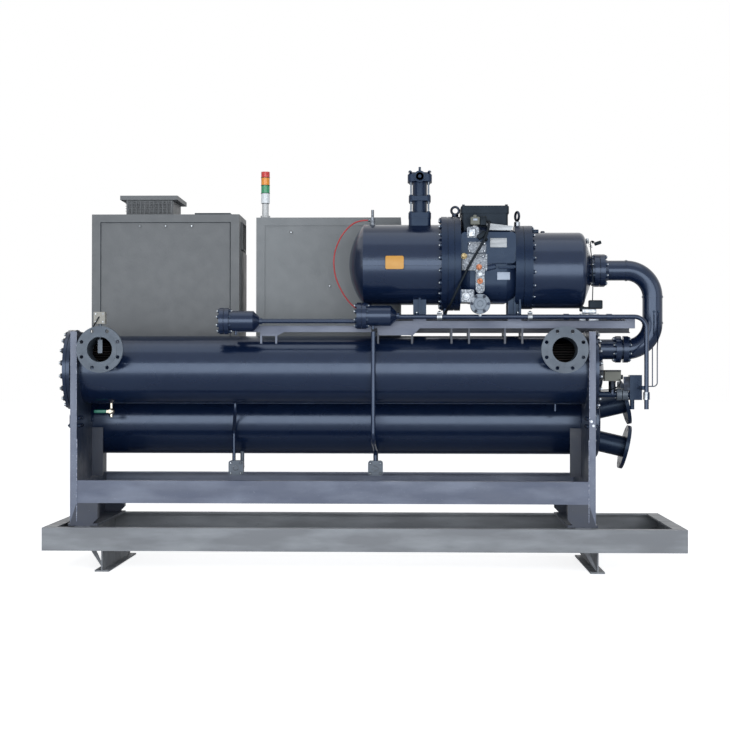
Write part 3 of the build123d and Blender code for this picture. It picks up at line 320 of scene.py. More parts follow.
# dark polyester powder coat on the terminal box
boxPowder = coatedSurface("powderCoatTerminalCharcoal", {
    "colour": "#0B0F16", "dust": "#141920", "chip": "#2C3138", "rough": (0.42, 0.54), "grain": 330, "bump": 0.15,
    "chipFrom": 0.82, "patch": 6, "index": 1.36, "tint": "#CDE6FF",
})
# moulded switch housing, beige polycarbonate with a soft sheen
switchPlastic = coatedSurface("polycarbonateHousingBeige", {
    "colour": "#8A8881", "dust": "#98968F", "chip": "#74726A", "rough": (0.4, 0.5), "grain": 700, "chipFrom": 0.85,
    "patch": 20,
})
# vinyl dipped sleeve on the lever, bright green and slightly waxy
greenSleeve = coatedSurface("vinylDippedSleeveGreen", {
    "colour": "#146452", "dust": "#2F7F6D", "chip": "#0F4638", "rough": (0.35, 0.45), "grain": 300, "chipFrom": 0.85,
    "patch": 20,
})
# rubber and vinyl sheaths, dull with a faint waxy bloom
blackRubber = coatedSurface("rubberSheathBlack", {
    "colour": "#060709", "dust": "#0F1114", "chip": "#1C1E23", "rough": (0.42, 0.58), "grain": 600, "chipFrom": 0.85,
    "patch": 20, "index": 1.34, "tint": "#CDE6FF",
})
redSheath = coatedSurface("vinylSheathRed", {
    "colour": "#A02226", "dust": "#B84446", "chip": "#7A181B", "rough": (0.4, 0.5), "grain": 600, "chipFrom": 0.85,
    "patch": 20,
})
# moulded coil and actuator housings, grey olive glass-filled nylon
oliveNylon = coatedSurface("glassFilledNylonOlive", {
    "colour": "#595B53", "dust": "#6C6E65", "chip": "#40433A", "rough": (0.42, 0.56), "grain": 420, "bump": 0.16,
    "chipFrom": 0.8, "patch": 15,
})
# stoved aluminium plate in signal orange, plain, with a low even sheen
orangePlate = coatedSurface("stovedPlateOrange", {
    "colour": "#B98328", "dust": "#C49645", "chip": "#9C6C20", "rough": (0.32, 0.44), "grain": 500, "bump": 0.05,
    "chipFrom": 0.85, "patch": 25,
})
# coated plate, pale and plain, slightly waxy
palePlate = coatedSurface("coatedPlatePale", {
    "colour": "#95A0B2", "dust": "#A4ADBB", "chip": "#828DA0", "rough": (0.35, 0.45), "grain": 500, "bump": 0.04,
    "chipFrom": 0.85, "patch": 25,
})
# sand-cast aluminium left bare: grey grit 2.5 mm across with bright high spots
castAluminium = bareMetal("sandCastAluminiumBare", {
    "dark": "#3F444B", "colour": "#71767D", "bright": "#A9ADB2", "rough": (0.4, 0.58), "grain": 400, "bump": 0.45,
    "stain": 160,
})
# zinc-plated fasteners and clamps: pale, slightly blue, soft shine
zincPlate = bareMetal("zincPlatedSteel", {
    "dark": "#6A7076", "colour": "#999DA2", "bright": "#C4C8CC", "rough": (0.26, 0.4), "grain": 500, "bump": 0.08,
})
# black oxide fasteners: near black with an oily glint
blackOxide = bareMetal("blackOxideSteelFastener", {
    "dark": "#10141B", "colour": "#1E2430", "bright": "#465063", "rough": (0.3, 0.46), "grain": 500, "metal": 0.7,
})
# nickel-plated brass valve: warm white metal
nickelBrass = bareMetal("nickelPlatedBrass", {
    "dark": "#7A7166", "colour": "#A79F92", "bright": "#CFC9BE", "rough": (0.2, 0.34), "grain": 400, "bump": 0.06,
})
# soft copper and brass plugs, tarnished in patches
copperPlug = bareMetal("copperPlugTarnished", {
    "dark": "#4A2C20", "colour": "#8A5A42", "bright": "#B98A70", "rough": (0.3, 0.45), "grain": 400, "stain": 90,
})
brassFitting = bareMetal("brassFittingDull", {
    "dark": "#4E422C", "colour": "#857759", "bright": "#B5A98E", "rough": (0.28, 0.42), "grain": 400, "stain": 90,
})
# copper heat exchange tube, drawn almost black inside the vessel
copperTube = bareMetal("copperTubeNearBlack", {
    "dark": "#0E0D0E", "colour": "#1D1A1A", "bright": "#3A302B", "rough": (0.4, 0.6), "grain": 200, "metal": 0.8,
    "stretch": (0.2, 1, 1),
})
# satin aluminium plate, plain, brushed along its length
satinPlate = bareMetal("satinAluminiumPlate", {
    "dark": "#7E8286", "colour": "#94989C", "bright": "#ACAFB2", "rough": (0.36, 0.48), "grain": 500, "bump": 0.05,
    "stretch": (0.15, 1, 1), "metal": 0.5,
})
# painted weld bead, lumpy, its crests rubbed bright
weldBead = bareMetal("weldBeadRubbed", {
    "dark": "#4A5369", "colour": "#8990A2", "bright": "#D0D5DE", "rough": (0.3, 0.48), "grain": 260, "bump": 0.4,
    "stain": 130, "metal": 0.3,
})


# the same primer where the lathe has left rings; a real feed is under 1 mm, drawn wide so that it shows
turning = {"step": 0.0045, "bump": 0.35, "depth": 0.0008}


def turnedPrimer(name, centre):
    material = phosphatePrimer.copy()
    material.name = name
    tree = material.node_tree
    shader = next(node for node in tree.nodes if node.type == "BSDF_PRINCIPLED")
    place = addNode(tree, "ShaderNodeTexCoord").outputs["Object"]
    shift = {"Location": (-centre.x, 0, -centre.z), "Scale": (1, 0, 1)}
    centred = addNode(tree, "ShaderNodeMapping", shift, {"Vector": place})
    distance = addNode(tree, "ShaderNodeVectorMath", {"operation": "LENGTH"}, {0: centred.outputs[0]})
    pace = {"operation": "MULTIPLY", 1: 2 * math.pi / turning["step"]}
    turns = addNode(tree, "ShaderNodeMath", pace, {0: distance.outputs["Value"]})
    wave = addNode(tree, "ShaderNodeMath", {"operation": "SINE"}, {0: turns.outputs[0]})
    relief = {"Strength": turning["bump"], "Distance": turning["depth"]}
    bump = addNode(tree, "ShaderNodeBump", relief, {"Height": wave.outputs[0]})
    tree.links.new(bump.outputs[0], shader.inputs["Normal"])
    return material


# acrylic signal lenses: each tier its own colour, fine ribs 4 mm apart
signalTiers = {
    "ribStep": 0.004, "bump": 0.3, "depth": 0.0006, "rough": 0.2, "coat": 0.4,
    "tiers": [  # height where each colour starts
        (2.2, "#B9BBBC"), (2.3285, "#D3D8DC"), (2.3955, "#16895A"), (2.4475, "#E08A12"), (2.4985, "#C21D1A"),
        (2.6, "#C21D1A"),
    ],
}


def signalLenses(name, look):
    material, tree, shader = newMaterial(name)
    place = addNode(tree, "ShaderNodeTexCoord").outputs["Object"]
    height = addNode(tree, "ShaderNodeSeparateXYZ", links={"Vector": place}).outputs["Z"]
    low, high = look["tiers"][0][0], look["tiers"][-1][0]
    share = addNode(tree, "ShaderNodeMapRange", {"From Min": low, "From Max": high}, {"Value": height})
    stops = [((z - low) / (high - low), srgb(colour)) for z, colour in look["tiers"]]
    ramp = addNode(tree, "ShaderNodeValToRGB", {"stops": stops}, {"Fac": share.outputs[0]})
    ramp.color_ramp.interpolation = "CONSTANT"
    tree.links.new(ramp.outputs[0], shader.inputs["Base Color"])
    pace = {"operation": "MULTIPLY", 1: 2 * math.pi / look["ribStep"]}
    ribs = addNode(tree, "ShaderNodeMath", pace, {0: height})
    wave = addNode(tree, "ShaderNodeMath", {"operation": "SINE"}, {0: ribs.outputs[0]})
    relief = {"Strength": look["bump"], "Distance": look["depth"]}
    bump = addNode(tree, "ShaderNodeBump", relief, {"Height": wave.outputs[0]})
    tree.links.new(bump.outputs[0], shader.inputs["Normal"])
    shader.inputs["Roughness"].default_value = look["rough"]
    shader.inputs["Coat Weight"].default_value = look["coat"]
    return material


signalLens = signalLenses("acrylicSignalLenses", signalTiers)

nodeFinish = {
    vesselEnamel: [
        "condenser_shell", "condenser_box_left", "condenser_box_right", "evaporator_shell", "evaporator_head_left",
        "evaporator_head_right", "suction_pipe", "filter_pot_left", "filter_pot_right", "filter_pipe", "liquid_pipe",
        "oil_tube_left", "oil_tube_right", "capillary_tubes", "oil_separator", "motor_housing",
    ],
    castEnamel: [
        "compressor_casing", "discharge_valve", "compressor_feet", "expansion_valve", "condenser_nozzle_lower",
        "condenser_nozzle_upper",
    ],
    frameEnamel: [
        "end_frame_left", "end_frame_right", "upper_frame_left", "upper_frame_right", "rail_brackets",
        "cabinet_carrier",
    ],
    railEnamel: ["lower_rail_front", "lower_rail_rear", "compressor_rails", "filter_rail"],
    trayEnamel: [
        "tray_front_beam", "tray_rear_beam", "tray_left_beam", "tray_right_beam", "tray_cross_left",
        "tray_cross_right", "base_beam_left", "base_beam_right",
    ],
    cabinetPowder: ["control_cabinet", "cabinet_vent"],
    palePowder: ["starter_cabinet"],
    phosphatePrimer: ["angle_valve_left", "angle_valve_right"],
    boxPowder: ["terminal_box", "cabinet_cover"],
    castAluminium: ["service_valve"],
    nickelBrass: ["drain_valve_body", "drain_lever"],
    switchPlastic: ["flow_switch"],
    copperTube: ["evaporator_tubes"],
    signalLens: ["stack_light"],
}
for side in ("left", "right"):
    nozzle = f"water_nozzle_{side}"
    nodeFinish[turnedPrimer(f"turnedFlangePrimer_{side}", middleOf(nozzle))] = [nozzle]
for material, names in nodeFinish.items():
    for name in names:
        nodes[name].data.materials.clear()
        nodes[name].data.materials.append(material)


def paintZone(name, material, low, high):
    mesh = nodes[name].data
    mesh.materials.append(material)
    index = len(mesh.materials) - 1
    for face in mesh.polygons:
        if all(low[i] <= face.center[i] <= high[i] for i in range(3)):
            face.material_index = index


far = 9.0  # beyond the machine on every side
stripFoot = 0.4  # the posts' pale strips start here
bareZones = [  # faces of a node that have another finish than the rest of it: node, finish, low and high corner
    ("compressor_casing", castAluminium, (0.5945, -0.4535, 1.60), (0.925, -0.4403, 2.13)),
    ("compressor_casing", phosphatePrimer, (0.645, -0.4402, 1.58), (0.777, -0.4301, 1.71)),
    ("rail_brackets", railEnamel, (0.05, -0.345, 1.4545), (0.36, -0.33, 1.51)),
    # the compressor rails' rear part takes the darker frame enamel: painted shade behind the front rail
    ("compressor_rails", frameEnamel, (-far, -0.12, 0), (far, far, far)),
    ("liquid_pipe", zincPlate, (1.68, -0.45, 1.046), (1.73, -0.40, 1.108)),
    ("expansion_valve", oliveNylon, (1.48, -0.30, 1.170), (1.598, -0.10, 1.26)),
    ("expansion_valve", blackOxide, (1.52, -0.23, 1.105), (1.585, -0.17, 1.1699)),
    ("expansion_valve", phosphatePrimer, (1.5715, -0.24, 1.04), (1.6035, -0.16, 1.13)),
    ("expansion_valve", phosphatePrimer, (1.6075, -0.24, 1.04), (1.6395, -0.16, 1.13)),
    ("flow_switch", phosphatePrimer, (-far, -far, 0), (far, far, 1.518)),
]
# the paler enamel goes only on the faces at the front plane of the posts and upper frames: painted light
for side in ("left", "right"):
    low, high = boxOf(f"upper_frame_{side}")
    front = boxOf(f"end_frame_{side}")[0].y
    for kind, y, bottom, top in (("upper_frame", low.y, low.z, high.z), ("end_frame", front, stripFoot, low.z)):
        bareZones.append((f"{kind}_{side}", postFrontPaintedLight, (low.x, y - 0.001, bottom), (high.x, y + 0.001, top)))
for name, material, low, high in bareZones:
    paintZone(name, material, low, high)
print("finishes set")


# Mesh tools
sharpAngle = math.radians(34)


def meshPiece(name, bm, material, body=mainBody, smooth=True):
    bmesh.ops.remove_doubles(bm, verts=bm.verts, dist=1e-6)
    bmesh.ops.recalc_face_normals(bm, faces=bm.faces)
    mesh = bpy.data.meshes.new(name)
    bm.to_mesh(mesh)
    bm.free()
    mesh.materials.append(material)
    if smooth:
        mesh.shade_smooth()
        mesh.set_sharp_from_angle(angle=sharpAngle)
    return finishPiece(bpy.data.objects.new(name, mesh), body)


def builtPiece(name, parts, material, slotName, body=mainBody, smooth=True):
    bm = bmesh.new()
    for addPart, *sizes in parts:
        addPart(bm, *sizes)
    return meshPiece(name, bm, material, body, smooth)


def addRoundedBox(bm, low, high, bevel=0.002, segments=2, matrix=Matrix()):
    low, high = Vector(low), Vector(high)
    place = matrix @ Matrix.Translation((low + high) / 2) @ Matrix.Diagonal((*(high - low), 1))
    fresh = bmesh.ops.create_cube(bm, size=1, matrix=place)["verts"]
    edges = {edge for vert in fresh for edge in vert.link_edges}
    offset = min(bevel, min(high - low) * 0.45)
    bmesh.ops.bevel(bm, geom=list(edges), offset=offset, segments=segments, profile=0.5, affect="EDGES")


def tiltedBox(bm, centre, size, angle=0.0, bevel=0.002):
    turn = Matrix.Translation(centre) @ Matrix.Rotation(math.radians(angle), 4, "Y")
    half = Vector(size) / 2
    addRoundedBox(bm, -half, half, bevel, matrix=turn)


def axisMatrix(origin, axis):
    axis = Vector(axis).normalized()
    across = plusZ if abs(axis.z) < 0.5 else plusX
    side = across.cross(axis).normalized()
    turned = Matrix((side, axis.cross(side), axis)).transposed()
    return Matrix.Translation(origin) @ turned.to_4x4()


def addTurned(bm, origin, axis, profile, sides=32):
    matrix = axisMatrix(origin, axis)
    rings = []
    for along, radius in profile:
        if radius < 1e-6:
            rings.append([bm.verts.new(matrix @ Vector((0, 0, along)))])
            continue
        rings.append([
            bm.verts.new(matrix @ Vector((radius * math.cos(angle), radius * math.sin(angle), along)))
            for angle in (2 * math.pi * i / sides for i in range(sides))
        ])
    for first, second in zip(rings, rings[1:]):
        for i in range(sides):
            j = (i + 1) % sides
            if len(first) == 1:
                bm.faces.new((first[0], second[i], second[j]))
            elif len(second) == 1:
                bm.faces.new((first[i], second[0], first[j]))
            else:
                bm.faces.new((first[i], second[i], second[j], first[j]))


def addDisc(bm, origin, axis, radius, depth, edge=0.002, sides=32):
    profile = [(0, 0), (0, radius), (depth - edge, radius), (depth, radius - edge), (depth, 0)]
    addTurned(bm, origin, axis, profile, sides)


def addBands(bm, loops, capped=False):
    for first, second in zip(loops, loops[1:]):
        for i in range(len(first)):
            j = (i + 1) % len(first)
            bm.faces.new((first[i], first[j], second[j], second[i]))
    if capped:
        bm.faces.new(loops[0])
        bm.faces.new(loops[-1])


def addRing(bm, centre, axis, major, minor, sides=36, tubeSides=12):
    matrix = axisMatrix(centre, axis)
    loops = []
    for i in range(sides):
        angle = 2 * math.pi * i / sides
        loop = []
        for j in range(tubeSides):
            turn = 2 * math.pi * j / tubeSides
            reach = major + minor * math.cos(turn)
            place = Vector((reach * math.cos(angle), reach * math.sin(angle), minor * math.sin(turn)))
            loop.append(bm.verts.new(matrix @ place))
        loops.append(loop)
    addBands(bm, loops + loops[:1])


def meshOfCurve(curve):
    holder = bpy.data.objects.new(curve.name, curve)
    scene.collection.objects.link(holder)
    bpy.context.view_layer.update()
    mesh = bpy.data.meshes.new_from_object(holder.evaluated_get(bpy.context.evaluated_depsgraph_get()))
    bpy.data.objects.remove(holder)
    return mesh


def tubePiece(name, points, radius, material):
    mesh = meshOfCurve(splineCurve(name, points, radius))
    mesh.name = name
    mesh.materials.clear()
    mesh.materials.append(material)
    mesh.shade_smooth()
    return finishPiece(bpy.data.objects.new(name, mesh))


# Geometry Nodes trees for what repeats
def newTree(name, inputs):
    tree = bpy.data.node_groups.new(name, "GeometryNodeTree")
    tree.interface.new_socket("Geometry", in_out="INPUT", socket_type="NodeSocketGeometry")
    for label, kind in inputs:
        tree.interface.new_socket(label, in_out="INPUT", socket_type=kind)
    tree.interface.new_socket("Geometry", in_out="OUTPUT", socket_type="NodeSocketGeometry")
    return tree, addNode(tree, "NodeGroupInput").outputs


def closeTree(tree, geometry, material):
    realized = addNode(tree, "GeometryNodeRealizeInstances", links={"Geometry": geometry})
    links = {"Geometry": realized.outputs[0], "Material": material}
    painted = addNode(tree, "GeometryNodeSetMaterial", links=links)
    addNode(tree, "NodeGroupOutput", links={0: painted.outputs[0]})


def instanceAlong(tree, points, instance):
    axis = addNode(tree, "GeometryNodeInputNamedAttribute", {"data_type": "FLOAT_VECTOR", "Name": "axis"})
    turned = addNode(tree, "FunctionNodeAlignEulerToVector", {"axis": "Z"}, {"Vector": axis.outputs[0]})
    links = {"Points": points, "Instance": instance, "Rotation": turned.outputs[0]}
    return addNode(tree, "GeometryNodeInstanceOnPoints", links=links).outputs[0]


def fastenerTree():
    tree, given = newTree("fastenersOnPoints", [
        ("Head Sides", "NodeSocketInt"), ("Head Radius", "NodeSocketFloat"), ("Head Height", "NodeSocketFloat"),
        ("Washer Radius", "NodeSocketFloat"), ("Washer Height", "NodeSocketFloat"),
        ("Stud Radius", "NodeSocketFloat"), ("Stud Length", "NodeSocketFloat"),
        ("Finish", "NodeSocketMaterial"), ("End Finish", "NodeSocketMaterial"),
    ])
    joined = addNode(tree, "GeometryNodeJoinGeometry")
    for part, finish in (("Head", "Finish"), ("Washer", "Finish"), ("Stud", "End Finish")):
        size = "Length" if part == "Stud" else "Height"
        links = {"Radius": given[f"{part} Radius"], "Depth": given[f"{part} {size}"]}
        if part == "Head":
            links["Vertices"] = given["Head Sides"]
        cylinder = addNode(tree, "GeometryNodeMeshCylinder", {"Vertices": 14}, links)
        half = addNode(tree, "ShaderNodeMath", {"operation": "MULTIPLY", 1: 0.5}, {0: given[f"{part} {size}"]})
        lift = addNode(tree, "ShaderNodeCombineXYZ", links={"Z": half.outputs[0]})
        links = {"Geometry": cylinder.outputs[0], "Translation": lift.outputs[0]}
        raised = addNode(tree, "GeometryNodeTransform", links=links)
        links = {"Geometry": raised.outputs[0], "Material": given[finish]}
        painted = addNode(tree, "GeometryNodeSetMaterial", links=links)
        tree.links.new(painted.outputs[0], joined.inputs[0])
    placed = instanceAlong(tree, given["Geometry"], joined.outputs[0])
    realized = addNode(tree, "GeometryNodeRealizeInstances", links={"Geometry": placed})
    addNode(tree, "NodeGroupOutput", links={0: realized.outputs[0]})
    return tree


def barTree():
    tree, given = newTree("barsOnPoints", [
        ("Width", "NodeSocketFloat"), ("Depth", "NodeSocketFloat"), ("Length", "NodeSocketFloat"),
        ("Finish", "NodeSocketMaterial"),
    ])
    links = {"X": given["Width"], "Y": given["Depth"], "Z": given["Length"]}
    size = addNode(tree, "ShaderNodeCombineXYZ", links=links)
    bar = addNode(tree, "GeometryNodeMeshCube", links={"Size": size.outputs[0]})
    closeTree(tree, instanceAlong(tree, given["Geometry"], bar.outputs[0]), given["Finish"])
    return tree


def tubeTree():
    tree, given = newTree("tubesOnPoints", [
        ("Radius", "NodeSocketFloat"), ("Length", "NodeSocketFloat"), ("Finish", "NodeSocketMaterial"),
    ])
    links = {"Radius": given["Radius"], "Depth": given["Length"]}
    tube = addNode(tree, "GeometryNodeMeshCylinder", {"Vertices": 12}, links)
    closeTree(tree, instanceAlong(tree, given["Geometry"], tube.outputs[0]), given["Finish"])
    return tree


def beadTree():
    tree, given = newTree("weldBeadsAlongPath", [
        ("Spacing", "NodeSocketFloat"), ("Radius", "NodeSocketFloat"), ("Seed", "NodeSocketInt"),
        ("Finish", "NodeSocketMaterial"),
    ])
    path = addNode(tree, "GeometryNodeMeshToCurve", links={"Mesh": given["Geometry"]})
    links = {"Curve": path.outputs[0], "Length": given["Spacing"]}
    spaced = addNode(tree, "GeometryNodeResampleCurve", {"mode": "LENGTH"}, links)
    drop = addNode(tree, "GeometryNodeMeshIcoSphere", {"Subdivisions": 2}, {"Radius": given["Radius"]})
    spread = {"data_type": "FLOAT", 2: 0.75, 3: 1.15}
    size = addNode(tree, "FunctionNodeRandomValue", spread, {"Seed": given["Seed"]})
    links = {"Points": spaced.outputs[0], "Instance": drop.outputs[0], "Scale": size.outputs[1]}
    placed = addNode(tree, "GeometryNodeInstanceOnPoints", links=links)
    closeTree(tree, placed.outputs[0], given["Finish"])
    return tree


fasteners, bars, tubes, beads = fastenerTree(), barTree(), tubeTree(), beadTree()


def grownPiece(name, tree, points, values, edges=(), replaced=()):
    mesh = bpy.data.meshes.new(name)
    mesh.from_pydata([tuple(place) for place, axis in points], list(edges), [])
    axes = mesh.attributes.new("axis", "FLOAT_VECTOR", "POINT")
    for item, (place, axis) in zip(axes.data, points):
        item.vector = axis
    obj = bpy.data.objects.new(name, mesh)
    scene.collection.objects.link(obj)
    modifier = obj.modifiers.new("grow", "NODES")
    modifier.node_group = tree
    sockets = {s.name: s.identifier for s in tree.interface.items_tree if s.in_out == "INPUT"}
    for label, value in values.items():
        modifier[sockets[label]] = value
    bpy.context.view_layer.update()
    grown = bpy.data.meshes.new_from_object(obj.evaluated_get(bpy.context.evaluated_depsgraph_get()))
    obj.modifiers.remove(modifier)
    obj.data = grown
    grown.name = name
    return finishPiece(obj, replaced=replaced)


def ringPoints(centre, axis, radius, count, start=0):
    across = minusY if abs(axis.x) > 0.5 else plusX
    up = axis.cross(across)
    if up.z < 0 or up.y > 0:
        up = -up
    turns = [math.radians(start + 360 * i / count) for i in range(count)]
    return [(Vector(centre) + radius * (across * math.cos(turn) + up * math.sin(turn)), axis) for turn in turns]


# Fasteners: heads of the flanges' and frames' real thread sizes
fastenerKinds = {  # sides, head radius and height, washer radius, stud radius and length, head and stud finish
    "hexLarge": (6, 0.0165, 0.012, 0.0185, 0.009, 0.022, blackOxide, zincPlate),
    "hexMedium": (6, 0.0130, 0.011, 0.0150, 0.0066, 0.017, castEnamel, zincPlate),
    # hexMedium's zinc stud ends stand out light past the navy heads: painted highlight on the bolt tips
    "hexDark": (6, 0.0118, 0.010, 0.0138, 0.0062, 0.016, castEnamel, blackOxide),
    "hexSmall": (6, 0.0078, 0.006, 0.0092, 0.004, 0.009, blackOxide, zincPlate),
    "hexBright": (6, 0.0068, 0.005, 0.0082, 0.0035, 0.008, zincPlate, zincPlate),
    "valveNut": (6, 0.0105, 0.0085, 0.0125, 0.0055, 0.0135, castEnamel, zincPlate),
    "capScrew": (16, 0.0085, 0.008, 0.0095, 0.005, 0.0085, blackOxide, blackOxide),
    "lidScrew": (14, 0.0035, 0.002, 0.0042, 0.002, 0.0025, zincPlate, zincPlate),
    "panelRivet": (12, 0.0075, 0.0035, 0.0095, 0.004, 0.0045, cabinetPowder, zincPlate),
}
washerShare = 0.22  # a washer's thickness, as a share of its head's height


def boltsAt(name, places, kind):
    sides, radius, height, washer, stud, length, finish, ends = fastenerKinds[kind]
    values = {
        "Head Sides": sides, "Head Radius": radius, "Head Height": height, "Washer Radius": washer,
        "Washer Height": height * washerShare, "Stud Radius": stud, "Stud Length": length, "Finish": finish,
        "End Finish": ends,
    }
    return grownPiece(name, fasteners, places, values)


# Flange bolts: heads face out on both sides of each joint
headRing = {"radius": 0.232, "count": 18, "start": 10, "flange": 0.045, "leftJoint": 0.044}
boxRing = {"radius": 0.252, "count": 20, "start": 9, "flange": 0.030}
headLow, headHigh = boxOf("evaporator_head_left")
axisY, headZ = (headLow.y + headHigh.y) / 2, (headLow.z + headHigh.z) / 2
condenser = middleOf("condenser_shell")
leftJoint = headLow.x + headRing["leftJoint"]
rightJoint = boxOf("evaporator_head_right")[0].x + headRing["flange"]

largeBolts = []
for joint, out in ((leftJoint, minusX), (rightJoint, plusX)):
    for x, facing in ((joint, out), (joint - out.x * headRing["flange"], -out)):
        centre = (x, axisY, headZ)
        largeBolts += ringPoints(centre, facing, headRing["radius"], headRing["count"], headRing["start"])
for inner, out in ((boxOf("condenser_box_left")[1].x, minusX), (boxOf("condenser_box_right")[0].x, plusX)):
    centre = (inner + out.x * boxRing["flange"], condenser.y, condenser.z)
    largeBolts += ringPoints(centre, out, boxRing["radius"], boxRing["count"], boxRing["start"])
boltsAt("head_bolts", largeBolts, "hexLarge")

casingLow, casingHigh = boxOf("compressor_casing")
casingRings = {  # face, axis, ring radius, height, count, first angle
    "separator": (casingLow.x, minusX, 0.275, 1.906, 22, 4),
    "motor": (casingHigh.x, plusX, 0.247, 1.882, 18, 10),
}
casingBolts = []
for x, out, radius, z, count, start in casingRings.values():
    casingBolts += ringPoints((x, axisY, z), out, radius, count, start)
boltsAt("casing_bolts", casingBolts, "hexMedium")

lineJoints = {
    "count": 8, "start": 22, "potRadius": 0.066, "potWidth": 0.059,
    "pots": {"filter_pot_left": 1.539, "filter_pot_right": 1.572},  # height of each pot's axis
    "pipes": [(1.429, 1.495, 0.088, axisY, 1.863), (1.564, 1.642, 0.070, axisY, 1.370)],
}
joints = list(lineJoints["pipes"])  # left face, right face, ring radius, depth, height
for pot, z in lineJoints["pots"].items():
    left = boxOf(pot)[0].x
    joints.append((left, left + lineJoints["potWidth"], lineJoints["potRadius"], middleOf(pot).y, z))
lineBolts = []
for left, right, radius, y, z in joints:
    for x, out in ((left, minusX), (right, plusX)):
        lineBolts += ringPoints((x, y, z), out, radius, lineJoints["count"], lineJoints["start"])
boltsAt("line_bolts", lineBolts, "hexMedium")
print("flange bolts placed")


# Discharge valve: studs and nuts through its three flanges, rod cap and stem square
discharge = {
    "x": 0.342, "y": -0.200, "studs": 0.055, "studRadius": 0.0055, "headNuts": 0.060, "headLevel": 2.473,
    "seatTop": 2.222, "bodyLow": 2.297, "bodyTop": 2.326, "bonnetLow": 2.418, "capZ": 2.446, "capReach": 0.004,
    "stem": (0.007, 0.007, 0.022),
    "capProfile": [
        (-0.034, 0), (-0.034, 0.034), (-0.020, 0.034), (-0.017, 0.029), (0.001, 0.029), (0.004, 0.025),
        (0.004, 0.010), (0.001, 0.008), (0.001, 0),
    ],
}
valveLow, valveHigh = boxOf("discharge_valve")
halfX, halfY, stemHeight = discharge["stem"]
studs = [(
    addRoundedBox, (discharge["x"] - halfX, discharge["y"] - halfY, valveHigh.z - stemHeight),
    (discharge["x"] + halfX, discharge["y"] + halfY, valveHigh.z), 0.0015,
)]
valveNuts = []
for signX in (-1, 1):
    for signY in (-1, 1):
        x, y = discharge["x"] + signX * discharge["studs"], discharge["y"] + signY * discharge["studs"]
        length = discharge["bonnetLow"] - discharge["seatTop"]
        studs.append((addDisc, (x, y, discharge["seatTop"]), plusZ, discharge["studRadius"], length, 0.001, 14))
        valveNuts += [((x, y, discharge[level]), plusZ) for level in ("seatTop", "bodyTop")]
        valveNuts += [((x, y, discharge[level]), -plusZ) for level in ("bodyLow", "bonnetLow")]
        x, y = discharge["x"] + signX * discharge["headNuts"], discharge["y"] + signY * discharge["headNuts"]
        valveNuts.append(((x, y, discharge["headLevel"]), plusZ))
builtPiece("discharge_studs", studs, palePrimer, "flange_paint")
capPlace = (discharge["x"], valveLow.y + discharge["capReach"], discharge["capZ"])
cap = (addTurned, capPlace, minusY, discharge["capProfile"], 36)
builtPiece("discharge_cap", [cap], paleCast, "frame_paint")
boltsAt("discharge_nuts", valveNuts, "valveNut")

# Separator: orange plate with a dark border, bent round the shell's raised band, and the band's edges
separator = {"axisZ": 1.899, "radius": 0.251, "tuck": 0.002, "rows": 14}
curvedPlates = {  # left, right, low, high, rise off the shell, corner, material, slot
    "orange_plate_border": (0.129, 0.246, 1.854, 1.940, 0.0138, 0.008, blackOxide, "frame_paint"),
    "orange_plate": (0.1315, 0.2435, 1.8565, 1.9375, 0.0146, 0.007, orangePlate, "signal_lens"),
}
bandEdges = {"levels": (1.8805, 1.9125), "spans": ((-0.015, 0.127), (0.248, 0.472)), "half": 0.0012, "rise": 0.0125}


def shellFront(z):
    reach = max(separator["radius"] ** 2 - (z - separator["axisZ"]) ** 2, 0)
    return axisY - math.sqrt(reach)


for name, (left, right, low, high, rise, corner, material, slotName) in curvedPlates.items():
    bm = bmesh.new()
    rows = []
    for i in range(separator["rows"] + 1):
        z = low + (high - low) * i / separator["rows"]
        gap = max(corner - min(z - low, high - z), 0)
        pull = corner - math.sqrt(max(corner ** 2 - gap ** 2, 0))
        front, back = shellFront(z) - rise, shellFront(z) + separator["tuck"]
        section = ((left + pull, back), (left + pull, front), (right - pull, front), (right - pull, back))
        rows.append([bm.verts.new((x, y, z)) for x, y in section])
    addBands(bm, rows, capped=True)
    meshPiece(name, bm, material)
edges = []
for z in bandEdges["levels"]:
    front, back = shellFront(z) - bandEdges["rise"], shellFront(z) + separator["tuck"]
    for left, right in bandEdges["spans"]:
        low, high = z - bandEdges["half"], z + bandEdges["half"]
        edges.append((addRoundedBox, (left, front, low), (right, back, high), 0.0005, 1))
builtPiece("band_edges", edges, paleCast, "frame_paint")

